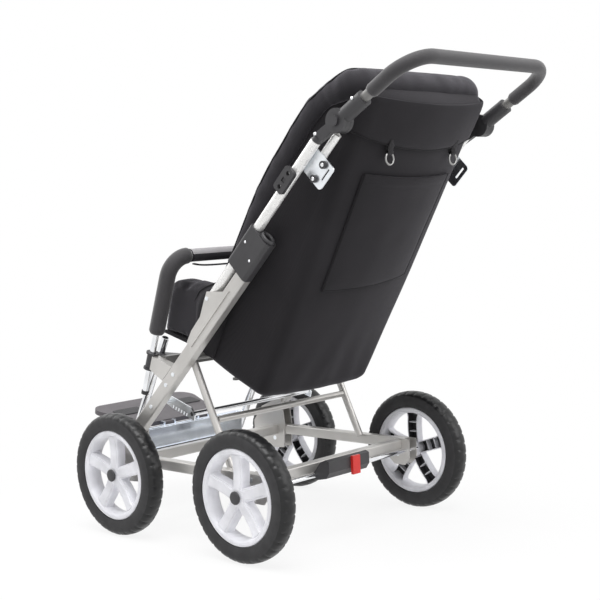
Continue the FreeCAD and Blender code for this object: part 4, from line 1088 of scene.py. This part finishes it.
@dataclass
class SeatSides:
    """Stuffed cheeks on both sides of the seat."""

    outline: tuple = ((-0.242, 0.497), (-0.069, 0.452), (-0.052, 0.607), (-0.119, 0.620), (-0.166, 0.625),
                      (-0.196, 0.620), (-0.216, 0.603))
    inner: float = 0.160
    outer: float = 0.2035
    edge: float = 0.009
    voxel: float = 0.005
    cap: float = 0.006

    def build(self, shop: Workshop) -> None:
        """Make a cheek on each side from its side-view outline."""
        for side in Side:
            mesh = self.cheek(side)
            pad = shop.piece(f"seat_cheek_{side.word}", mesh, "cloth", "chassis")
            stuff(pad, self.voxel, self.cap)
            subdivide(pad)
        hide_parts("seat_wings")

    def cheek(self, side: Side) -> bmesh.types.BMesh:
        """One cheek's rounded block.

        Args:
            side: The side of the chair.

        Returns:
            The closed mesh.
        """
        mesh = bmesh.new()
        verts = [mesh.verts.new((side.value * self.inner, y, z)) for y, z in self.outline]
        face = bmesh.ops.contextual_create(mesh, geom=verts)["faces"]
        grown = bmesh.ops.extrude_face_region(mesh, geom=face)["geom"]
        for vert in (g for g in grown if isinstance(g, bmesh.types.BMVert)):
            vert.co.x = side.value * self.outer
        bmesh.ops.bevel(mesh, geom=list(mesh.edges), offset=self.edge, segments=4, profile=0.5,
                        affect="EDGES", material=-1)
        return mesh


@dataclass
class RearCloth:
    """What hangs on the rear panel: the top flap with its ring tabs, and the pocket."""

    bucket: Bucket
    flap_low: float = 0.648
    flap_top: float = 0.755
    flap_half: float = 0.640
    flap_off: float = 0.0052
    flap_thick: float = 0.0036
    flap_hem: float = 0.0018
    pocket_low: float = 0.300
    pocket_top: float = 0.582
    pocket_half: float = 0.141
    pocket_flare: float = 0.009
    pocket_seam: float = 0.0011
    ring_x: float = 0.113
    tab_root: float = 0.664
    tab_half: tuple = (0.0095, 0.0011)

    def panel_place(self, x: float, up: float, off: float) -> Vector:
        """A place behind the rear panel.

        Args:
            x: The place across the chair.
            up: The height up the back.
            off: The distance behind the panel's outer face.

        Returns:
            The place in the row frame.
        """
        return BACK.at(x, up, self.bucket.rear_face(x, up) - off)

    def build(self, shop: Workshop) -> None:
        """Make the flap, the tabs and the pocket."""
        self.build_flap(shop)
        self.build_pocket(shop)

    def build_flap(self, shop: Workshop) -> None:
        """A lined flap with a curved lower edge on the upper rear panel."""

        def place(a: float, b: float, c: float) -> Vector:
            share = (b + 1) / 2
            across = a * (self.flap_half - 0.035 * (1 - share))
            low = self.flap_low + 0.022 * abs(a) ** 2.2
            up = low + (self.flap_top - low) * share
            rim = 1 - 0.75 * max(abs(a), abs(b)) ** 8
            swell = 0.0030 * (1 - a * a) * (1 - b * b)
            swell += 0.0010 * ripple(Vector((across * 0.3, up, 0)), 14.0, 8.0)
            off = self.flap_off + c * self.flap_thick * rim + (swell if c > 0 else 0.0)
            spot = self.bucket.section(across, up)
            run = self.bucket.section(across + 0.004, up) - self.bucket.section(across - 0.004, up)
            out = run.cross(BACK.way(0, 1, 0)).normalized()
            if out.dot(spot - BACK.at(0, up, 0.08)) < 0:
                out = -out
            return spot + out * off

        mesh = block_mesh((56, 24, 2), place)
        flap = shop.piece("rear_flap", mesh, "panel", "push_frame")
        subdivide(flap)
        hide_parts("top_flap")
        hem = [place(n / 40 - 1, -0.985, 1.0) for n in range(81)]
        shop.cord("flap_hem", hem, self.flap_hem, Vector((0, 1, 0)), "push_frame")
        for side in Side:
            self.build_tab(shop, side)

    def build_tab(self, shop: Workshop, side: Side) -> None:
        """A short webbing loop that comes from under the flap and holds a ring."""
        low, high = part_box("d_rings")
        x = side.value * self.ring_x
        middle = Vector((x, (low.y + high.y) / 2, high.z - 0.0022))
        root = self.panel_place(x, self.tab_root, 0.0035)
        loop = ((-0.0042, 0.006), (-0.0042, 0.0), (0.0, -0.0046), (0.0042, 0.0), (0.0036, 0.007))
        line = [root, *(middle + Vector((0, y, z)) for y, z in loop), root + Vector((0, 0.0075, 0.002))]
        tape = tube_mesh(curve_through(line, 40), lambda share: self.tab_half, 12, Vector((1, 0, 0)))
        shop.piece(f"ring_tab_{side.word}", tape, "webbing", "push_frame")

    def build_pocket(self, shop: Workshop) -> None:
        """A flat sewn pocket with a turned hem along its mouth."""

        def place(a: float, b: float, c: float) -> Vector:
            share = (b + 1) / 2
            half = self.pocket_half + self.pocket_flare * share
            up = self.pocket_low + (self.pocket_top - self.pocket_low) * share
            up -= 0.012 * a * (1 - share)
            rim = 1 - 0.55 * max(abs(a), abs(b)) ** 14
            mouth = 0.0035 * smooth_step((share - 0.8) / 0.2) * (1 - a * a)
            hem = 0.0011 if share > 0.925 else 0.0
            swell = 0.0030 * (1 - a ** 4) * (1 - b ** 4) + 0.0010 * ripple(Vector((a, b, 0)), 2.4, 2.0)
            out = swell + mouth + hem if c > 0 else 0.0
            return self.panel_place(a * half, up, 0.0032 + c * 0.0026 * rim + out)

        mesh = block_mesh((48, 52, 2), place)
        pocket = shop.piece("rear_pocket", mesh, "panel", "push_frame")
        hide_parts("back_pocket")
        subdivide(pocket)
        edges = [place(-0.985, 1 - n / 30, 1.0) for n in range(61)]
        edges += [place(n / 30 - 1, -0.985, 1.0) for n in range(1, 61)]
        edges += [place(0.985, n / 30 - 1, 1.0) for n in range(1, 61)]
        shop.cord("pocket_seam", edges, self.pocket_seam, Vector((0.3, 1, 0.2)), "push_frame", 6)


@dataclass
class BumperPadding:
    """Foam on the bumper bar's legs and bends, with a cloth cover on its cross bar."""

    reach: float = 0.2525
    foot: tuple = (-0.265, 0.352)
    top: tuple = (-0.14338, 0.679)
    bend: float = 0.050
    leg_start: float = 0.152
    overlap: float = 0.004
    cover_gap: float = 0.006
    foam: float = 0.0195
    cover: float = 0.0168
    strap_half: tuple = (0.008, 0.0022)

    def build(self, shop: Workshop) -> None:
        """Make the two foam legs, the cross bar's cover and the strap under it."""
        run = Vector((0, self.top[0] - self.foot[0], self.top[1] - self.foot[1])).normalized()
        for side in Side:
            x = side.value * self.reach
            start = Vector((x, *self.foot)) + run * self.leg_start
            corner = Vector((x, *self.top))
            inside = Vector((side.value * (self.reach - self.bend - self.overlap), *self.top))
            line = evenly(arc_route([start, corner, inside], self.bend, 24), 0.006)
            mesh = tube_mesh(line, soft_ends(self.foam, 0.80, 0.03), 32, Vector((0, 1, 0.2)))
            shop.piece(f"bumper_foam_{side.word}", mesh, "foam", "bumper")
        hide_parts("bumper_foam")
        half = self.reach - self.bend - self.cover_gap
        line = evenly([Vector((-half, *self.top)), Vector((half, *self.top))], 0.005)

        def sleeve(share: float) -> tuple[float, float]:
            gather = 1 + 0.022 * math.sin(share * 90) * math.exp(-min(share, 1 - share) * 22)
            return self.cover * gather, self.cover * 0.94 * gather

        mesh = tube_mesh(line, sleeve, 32, Vector((0, 1, 0)))
        cover = shop.piece("bumper_cover", mesh, "cloth", "bumper")
        # The cover's upper faces get the light grey cloth: a painted highlight along its top.
        cover.data.materials.append(shop.finish("painted_highlight_cloth"))
        for face in cover.data.polygons:
            face.material_index = 1 if face.center.z > self.top[1] + 0.003 else 0
        low = []
        for step in range(61):
            x = half * 0.94 * (step / 30 - 1)
            sag = 0.0172 + 0.0095 * (1 - (x / half) ** 8)
            low.append(Vector((x, self.top[0] + 0.004, self.top[1] - sag)))
        tape = tube_mesh(low, lambda share: self.strap_half, 10, Vector((0, 1, 0)))
        shop.piece("bumper_strap", tape, "webbing", "bumper")


@dataclass
class HandleGrip:
    """The foam grip round the push handle's bends and cross bar."""

    reach: float = 0.2525
    hinge: tuple = (0.4015, 0.955)
    angle: float = math.radians(30.5)
    length: float = 0.223
    start: float = 0.100
    bend: float = 0.072
    radius: float = 0.0152

    def build(self, shop: Workshop) -> None:
        """Sweep the grip and round its ends."""
        run = Vector((0, math.cos(self.angle), math.sin(self.angle)))
        base = Vector((0, *self.hinge))
        ends, corners = [], []
        for side in Side:
            across = Vector((side.value * self.reach, 0, 0))
            ends.append(base + across + run * self.start)
            corners.append(base + across + run * self.length)
        route = arc_route([ends[0], corners[0], corners[1], ends[1]], self.bend, 24)
        line = evenly(route, 0.006)
        mesh = tube_mesh(line, soft_ends(self.radius, 0.86, 0.006), 32, Vector((0, -0.3, 1)))
        grip = shop.piece("foam_grip", mesh, "foam", "handle")
        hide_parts("handle_grip")


@dataclass
class Wheel:
    """One wheel's treaded tyre and its moulded rim.

    Each row of an outline is a distance towards the outer face and a distance from the axle. The
    spoke's section gives the distance to one side and the distance towards the outer face.
    """

    name: str
    x: float
    y: float
    z: float = 0.150
    steps: int = 216
    profile: tuple = mirrored((
        (-0.0215, 0.1105), (-0.0235, 0.116), (-0.0250, 0.124), (-0.0246, 0.132), (-0.0225, 0.1395),
        (-0.0188, 0.1448), (-0.0140, 0.1480), (-0.0080, 0.1494), (-0.0030, 0.1499),
    ))
    lip: tuple = (
        (-0.0185, 0.1102), (-0.0210, 0.1080), (-0.0220, 0.1040), (-0.0212, 0.0995), (-0.0190, 0.0968),
        (-0.0100, 0.0945), (0.0040, 0.0938), (0.0140, 0.0945), (0.0190, 0.0968), (0.0212, 0.0995),
        (0.0220, 0.1035), (0.0210, 0.1080), (0.0185, 0.1102),
    )
    hub: tuple = (
        (-0.0220, 0.0105), (-0.0220, 0.0205), (-0.0200, 0.0228), (0.0130, 0.0228), (0.0165, 0.0215),
        (0.0180, 0.0185), (0.0185, 0.0105),
    )
    spoke_face: tuple = mirrored((
        (-0.0158, -0.0080), (-0.0162, 0.0110), (-0.0146, 0.0146), (-0.0112, 0.0152), (-0.0100, 0.0172),
    ))
    spoke_hollow: tuple = mirrored(((0.0132, -0.0080), (0.0128, 0.0100)))
    spokes: int = 5
    spoke_root: float = 0.018
    spoke_length: float = 0.077
    ribs: tuple = (0.046, 0.070)
    rib_size: tuple = (0.015, 0.0262, 0.0022)
    sidewall: float = 0.1395
    tread: float = 0.138
    groove_every: int = 6
    groove_shift: int = 3
    groove_inner: float = 0.007
    groove_outer: float = 0.020
    groove_depths: tuple = (0.0024, 0.0013)
    outward: int = field(init=False)

    def __post_init__(self) -> None:
        """Work out which way the wheel's outer face looks."""
        self.outward = 1 if self.x > 0 else -1

    @property
    def centre(self) -> Vector:
        """The wheel's centre."""
        return Vector((self.x, self.y, self.z))

    def build(self, shop: Workshop) -> None:
        """Make the tyre and the rim."""
        mesh = bmesh.new()
        outline = [self.centre + Vector((across, 0, radius)) for across, radius in self.profile]
        spun(mesh, outline, self.centre, self.steps, True)
        for vert in mesh.verts:
            self.cut_tread(vert)
        tyre = shop.piece(f"treaded_{self.name}", mesh, "tyre", f"wheel_{self.name}")
        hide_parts(f"tyre_{self.name}")
        tyre.data.set_sharp_from_angle(angle=math.radians(32))
        tyre.data.materials.append(shop.finish("sidewall"))
        for face in tyre.data.polygons:
            away = face.center - self.centre
            face.material_index = 1 if math.hypot(away.y, away.z) < self.sidewall else 0
        self.build_rim(shop)

    def place(self, out: float, radius: float, turn: float, side: float = 0.0) -> Vector:
        """A place on the wheel.

        Args:
            out: The distance towards the wheel's outer face from its middle.
            radius: The distance from the axle, along a spoke.
            turn: The spoke's angle from straight up.
            side: The distance to one side of the spoke's middle line.

        Returns:
            The place in the row frame.
        """
        cos, sin = math.cos(turn), math.sin(turn)
        return Vector((self.x + self.outward * out, self.y - radius * sin + side * cos,
                       self.z + radius * cos + side * sin))

    def build_rim(self, shop: Workshop) -> None:
        """Make the moulded rim: a rolled lip, a hub and spokes that are hollow behind."""
        mesh = bmesh.new()
        for outline in (self.lip, self.hub):
            spun(mesh, [self.place(out, radius, 0.0) for out, radius in outline], self.centre, 96, True)
        # Faces inside each spoke's hollow get the dark plastic: painted shade in the recess.
        for index in range(self.spokes):
            for face in self.add_spoke(mesh, math.tau * index / self.spokes):
                face.material_index = 1
        rim = shop.piece(f"moulded_rim_{self.name}", mesh, "rim", f"wheel_{self.name}")
        rim.data.materials.append(shop.finish("plastic"))
        rim.data.set_sharp_from_angle(angle=math.radians(26))
        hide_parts(f"rim_{self.name}")

    def add_spoke(self, mesh: bmesh.types.BMesh, turn: float) -> list[bmesh.types.BMFace]:
        """Add one spoke with its raised face, its hollow back and the ribs across the hollow.

        Args:
            mesh: The rim's mesh.
            turn: The spoke's angle from straight up.

        Returns:
            The faces inside the hollow.
        """
        section, rows, lengths = self.spoke_face + self.spoke_hollow, [], 12
        for step in range(lengths + 1):
            share = step / lengths
            radius = self.spoke_root + share * self.spoke_length
            wide = 0.94 + 0.06 * share + 0.30 * smooth_step((share - 0.86) / 0.14)
            sink = 0.0035 * math.sin(share * math.pi)
            rows.append([self.place(out - sink, radius, turn, across * wide) for across, out in section])
        rings, _ = skin(mesh, rows)
        for ring in (rings[0], rings[-1]):
            mesh.faces.new(ring)
        inner = {vert for ring in rings for vert in ring[len(self.spoke_face):]}
        sides = {face for vert in inner for face in vert.link_faces}
        for radius in self.ribs:
            for vert in bmesh.ops.create_cube(mesh, size=1.0)["verts"]:
                out, side, up = vert.co * Vector(self.rib_size)
                vert.co = self.place(0.0005 + out, radius + up, turn, side)
        return [face for face in sides if all(vert in inner for vert in face.verts)]

    def cut_tread(self, vert: bmesh.types.BMVert) -> None:
        """Sink a vertex of the tyre that lies in a groove between the tread's blocks."""
        out = vert.co - self.centre
        across, out.x = out.x, 0.0
        if out.length < self.tread:
            return
        step = round(math.atan2(out.z, out.y) / math.tau * self.steps) % self.steps
        shift = self.groove_shift if across > 0 else 0
        if abs(across) > self.groove_inner and (step + shift) % self.groove_every == 0:
            deep, shallow = self.groove_depths
            vert.co -= out.normalized() * (deep if abs(across) < self.groove_outer else shallow)


@dataclass
class Fittings:
    """Domed caps, rivet heads and other small hard pieces on the frame."""

    wheels: tuple[Wheel, ...]
    stud_form: tuple = ((-0.0006, 0.0), (-0.0006, 1.0), (0.0006, 1.0), (0.0013, 0.82), (0.0018, 0.45),
                        (0.0019, 0.0))
    cap_form: tuple = ((0.0, 0.0), (0.0, 0.0150), (0.0022, 0.0150), (0.0036, 0.0138), (0.0048, 0.0105),
                       (0.0054, 0.006), (0.0056, 0.0))
    lip_at: tuple = (0.2525, 0.2285, 0.0365)
    lip_oval: tuple = (0.0098, 0.0155)
    lip_half: tuple = (0.0058, 0.0042)
    mat_pin: tuple = (0.0, -0.413, 0.229)
    mat_tilt: float = math.radians(10.5)
    mat_x: float = 0.098
    mat_ahead: float = 0.114
    mat_half: tuple = (0.044, 0.022)

    def build(self, shop: Workshop) -> None:
        """Make every small piece."""
        self.hub_caps(shop)
        self.foot_mats(shop)
        self.studs(shop)
        for side in Side:
            self.socket_lip(shop, side)

    def studs(self, shop: Workshop) -> None:
        """Bright rivet and bolt heads on the sleeves, the hinges and the recline plates."""
        hinge = [(0.2585, 0.3375, 0.9326, 0.0042)]
        hinge += [(*UPPER.at(0.2465, along, -0.042), 0.0046) for along in (0.4113, 0.4510)]
        socket = [(0.2700, 0.4516, 0.9960, 0.0036)]
        sleeve = [(0.2680, 0.1245, 0.7110, 0.0032), (0.2680, 0.1343, 0.6689, 0.0032)]
        self.stud_set(shop, "studs_push_frame", "push_frame", tuple(Side), hinge)
        self.stud_set(shop, "studs_handle", "handle", tuple(Side), socket)
        for side in Side:
            self.stud_set(shop, f"sleeve_rivets_{side.word}", f"lock_{side.word}", (side,), sleeve)

    def stud_set(self, shop: Workshop, name: str, body: str, sides: Sequence[Side],
                 places: Sequence[Sequence[float]]) -> None:
        """Make one piece of domed heads that stand out of side faces.

        Args:
            shop: The workshop.
            name: The piece's name.
            body: The CAD body that it moves with.
            sides: The sides of the chair that have them.
            places: Each head's X on the left, its Y and Z, and its radius.
        """
        mesh = bmesh.new()
        for side in sides:
            for x, y, z, radius in places:
                start = Vector((side.value * x, y, z))
                outline = [start + Vector((side.value * out, 0, share * radius))
                           for out, share in self.stud_form]
                spun(mesh, outline, start, 20)
                bmesh.ops.remove_doubles(mesh, verts=mesh.verts, dist=1e-6)
        shop.piece(name, mesh, "chrome", body)

    def socket_lip(self, shop: Workshop, side: Side) -> None:
        """The raised oval lip round the socket in the top of a lock sleeve."""
        line, steps = [], 48
        x, along, behind = self.lip_at
        half_x, half_behind = self.lip_oval
        for step in range(steps):
            turn = math.tau * step / steps
            line.append(UPPER.at(side.value * (x + half_x * math.cos(turn)), along,
                                 -behind - half_behind * math.sin(turn)))
        lip = tube_mesh(line, lambda share: self.lip_half, 14, UPPER.way(0, 1, 0), True)
        shop.piece(f"socket_lip_{side.word}", lip, "plastic", f"lock_{side.word}")

    def hub_caps(self, shop: Workshop) -> None:
        """A domed black cap on each wheel's axle end."""
        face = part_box("axle_caps")[1].x - 0.0045
        mesh = bmesh.new()
        for wheel in self.wheels:
            start = Vector((wheel.outward * face, wheel.y, wheel.z))
            outline = [start + Vector((wheel.outward * out, 0, radius)) for out, radius in self.cap_form]
            spun(mesh, outline, start, 40)
        bmesh.ops.remove_doubles(mesh, verts=mesh.verts, dist=1e-6)
        caps = shop.piece("hub_caps", mesh, "plastic", "chassis")
        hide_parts("axle_caps")

    def foot_mats(self, shop: Workshop) -> None:
        """Ribbed rubber mats on the footplate, in place of the plain straps."""
        cos, sin = math.cos(self.mat_tilt), math.sin(self.mat_tilt)
        ahead, above = Vector((0, -cos, sin)), Vector((0, sin, cos))
        half_x, half_y = self.mat_half
        for side in Side:
            def place(a: float, b: float, c: float) -> Vector:
                rib = 0.0009 * (0.5 + 0.5 * math.cos(b * math.pi * 7)) if c > 0 else 0.0
                corner = 1 - 0.06 * (abs(a) * abs(b)) ** 6
                rim = 0.0006 * max(abs(a), abs(b)) ** 20 if c > 0 else 0.0
                across = Vector((side.value * self.mat_x + a * half_x * corner, 0, 0))
                forward = ahead * (self.mat_ahead + b * half_y * corner)
                lift = above * (0.006 + (c + 1) * 0.0011 + rib - rim)
                return Vector(self.mat_pin) + across + forward + lift

            mesh = block_mesh((20, 56, 1), place)
            mat = shop.piece(f"foot_mat_{side.word}", mesh, "plastic", "footplate", "grip_foam")
            if side is Side.LEFT:
                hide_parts("foot_straps")


HALF_TRACK = 0.3125
AXLE_Y = {"front": -0.3105, "rear": 0.1245}
WHEEL_NAMES = tuple(f"{end}_{side.word}" for end in AXLE_Y for side in Side)
NODE_FINISH = {
    "frame": ("main_tubes", "side_rails", "front_cross_tube", "rear_cross_tube", "braces", "gusset_plates",
              "front_arms", "front_wheel_brackets", "rear_wheel_brackets"),
    "upper": ("upper_tubes", "back_tubes"),
    # The seat cross tubes take the dark grey as painted shade.
    "dark_paint_and_shade": ("seat_cross_tubes", "handle_bar"),
    "zinc": ("recline_plates", "tilt_rack", "frame_rivets", "wheel_axles"),
    "chrome": ("bumper_bar", "hanger_tubes", "rack_rod", "brake_rod"),
    "dull_steel": ("d_rings",),
    "aluminium": ("footrest_beam",),
    "plastic": ("bumper_clamps", "hanger_clamps", "lock_sleeve_left", "lock_sleeve_right", "accessory_clips",
                "handle_sockets", "hinge_knuckles", "bumper_caps", "axle_caps", "plate_knobs",
                "hinge_button_left", "hinge_button_right", "brake_pedal", "beam_strip", "foot_straps"),
    "footplate": ("footplate",),
    "rim": tuple(f"rim_{name}" for name in WHEEL_NAMES),
    "tyre": tuple(f"tyre_{name}" for name in WHEEL_NAMES),
    "foam": ("handle_grip", "bumper_foam"),
    "panel": ("seat_board",),
    "cloth": ("seat_cushion", "seat_wings", "lower_back_pad", "seat_cover", "back_pad", "back_wings",
              "back_cover", "top_flap", "back_pocket"),
    "red": ("brake_tab",),
}


@dataclass
class Studio:
    """The floor, the light and the camera."""

    camera_at: tuple = (2.18371, 2.08714, 0.77548)
    azimuth: float = math.radians(133.28)
    elevation: float = math.radians(4.134)
    roll: float = math.radians(-2.468)
    lens: float = 74.376
    sensor: float = 36.0

    def build(self) -> None:
        """Set up the whole studio."""
        self.build_camera()
        self.build_world()
        self.build_floor()
        self.build_lamps()
        bpy.context.scene.view_settings.view_transform = "Standard"

    def build_camera(self) -> None:
        """Stand the camera where the photograph was taken from."""
        level, height = math.cos(self.elevation), math.sin(self.elevation)
        back = Vector((math.sin(self.azimuth) * level, -math.cos(self.azimuth) * level, height))
        right = (-back).cross(Vector((0, 0, 1))).normalized()
        up = right.cross(-back)
        cos, sin = math.cos(self.roll), math.sin(self.roll)
        turned = Matrix((right * cos + up * sin, up * cos - right * sin, back)).transposed().to_4x4()
        data = bpy.data.cameras.new("photo_camera")
        data.lens, data.sensor_width = self.lens, self.sensor
        data.clip_start, data.clip_end = 0.05, 60.0
        camera = bpy.data.objects.new("photo_camera", data)
        bpy.context.scene.collection.objects.link(camera)
        camera.matrix_world = Matrix.Translation(self.camera_at) @ turned
        bpy.context.scene.camera = camera

    @staticmethod
    def seen(tree: bpy.types.NodeTree) -> bpy.types.NodeSocket:
        """Add nodes that tell the rays that see the background from those that only light the chair.

        Args:
            tree: The node tree of the floor or the world.

        Returns:
            A socket that is 1 for camera, glossy and transmission rays.
        """
        path = tree.nodes.new("ShaderNodeLightPath")
        socket = path.outputs["Is Camera Ray"]
        for ray in ("Is Glossy Ray", "Is Transmission Ray"):
            either = tree.nodes.new("ShaderNodeMath")
            either.operation = "MAXIMUM"
            tree.links.new(socket, either.inputs[0])
            tree.links.new(path.outputs[ray], either.inputs[1])
            socket = either.outputs[0]
        return socket

    @staticmethod
    def build_world() -> None:
        """A white sky for the camera and for reflections, and a softer one for the light."""
        world = bpy.data.worlds.new("studio_sky")
        bpy.context.scene.world = world
        world.use_nodes = True
        tree = world.node_tree
        strength = tree.nodes.new("ShaderNodeMapRange")
        strength.inputs["To Min"].default_value = 0.45
        strength.inputs["To Max"].default_value = 1.0
        tree.links.new(Studio.seen(tree), strength.inputs["Value"])
        sky = tree.nodes["Background"]
        sky.inputs["Color"].default_value = (1.0, 1.0, 1.0, 1.0)
        tree.links.new(strength.outputs[0], sky.inputs["Strength"])

    @staticmethod
    def build_floor() -> None:
        """A plain white floor that keeps a faint shadow."""
        mesh = bmesh.new()
        bmesh.ops.create_grid(mesh, x_segments=1, y_segments=1, size=14.0)
        data = bpy.data.meshes.new("floor")
        mesh.to_mesh(data)
        mesh.free()
        floor = bpy.data.objects.new("floor", data)
        bpy.context.scene.collection.objects.link(floor)
        graph = Graph("white_floor")
        graph.set(Base_Color=(0.88, 0.88, 0.88, 1.0), Roughness=0.9)
        away = graph.add("ShaderNodeVectorMath")
        away.operation = "LENGTH"
        graph.feed(away.inputs[0], graph.place)
        white = graph.add("ShaderNodeMapRange", Value=away.outputs["Value"], From_Min=0.40, From_Max=1.1,
                          To_Min=0.87, To_Max=1.0)
        white.interpolation_type = "SMOOTHSTEP"
        share = graph.math("MULTIPLY", Studio.seen(graph.tree), white.outputs[0])
        glow, mix = graph.add("ShaderNodeEmission"), graph.add("ShaderNodeMixShader")
        for socket, value in zip(mix.inputs, (share, graph.shader.outputs[0], glow.outputs[0])):
            graph.feed(socket, value)
        graph.feed(graph.tree.nodes["Material Output"].inputs["Surface"], mix.outputs[0])
        data.materials.append(graph.material)

    @staticmethod
    def build_lamps() -> None:
        """Three large soft lamps round the chair."""
        aim, size = Vector((0.0, 0.05, 0.55)), 2.4
        lamps = (("key_lamp", (0.9, 0.7, 3.3), 96.0), ("fill_lamp", (-1.4, 2.8, 2.0), 36.0),
                 ("front_lamp", (0.4, -2.4, 2.6), 30.0))
        for name, spot, power in lamps:
            data = bpy.data.lights.new(name, "AREA")
            data.size, data.energy = size, power
            lamp = bpy.data.objects.new(name, data)
            bpy.context.scene.collection.objects.link(lamp)
            lamp.location = spot
            lamp.rotation_mode = "QUATERNION"
            lamp.rotation_quaternion = (aim - Vector(spot)).to_track_quat("-Z", "Y")


def main() -> None:
    """Load the frame, dress it, build the soft goods and light the whole."""
    logging.basicConfig(level=logging.INFO, format="%(message)s")
    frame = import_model()
    shop = Workshop()
    Studio().build()
    for key, names in NODE_FINISH.items():
        for name in names:
            shop.dress(frame["nodes"][name], key)
    wheels = tuple(Wheel(f"{end}_{side.word}", side.value * HALF_TRACK, y)
                   for end, y in AXLE_Y.items() for side in Side)
    for wheel in wheels:
        wheel.build(shop)
    Fittings(wheels).build(shop)
    bucket = Bucket()
    bucket.build(shop)
    PaddedRim().build(shop)
    for pad in upholstery():
        pad.build(shop)
    SeatSides().build(shop)
    RearCloth(bucket).build(shop)
    BumperPadding().build(shop)
    HandleGrip().build(shop)


if __name__ == "__main__":
    main()
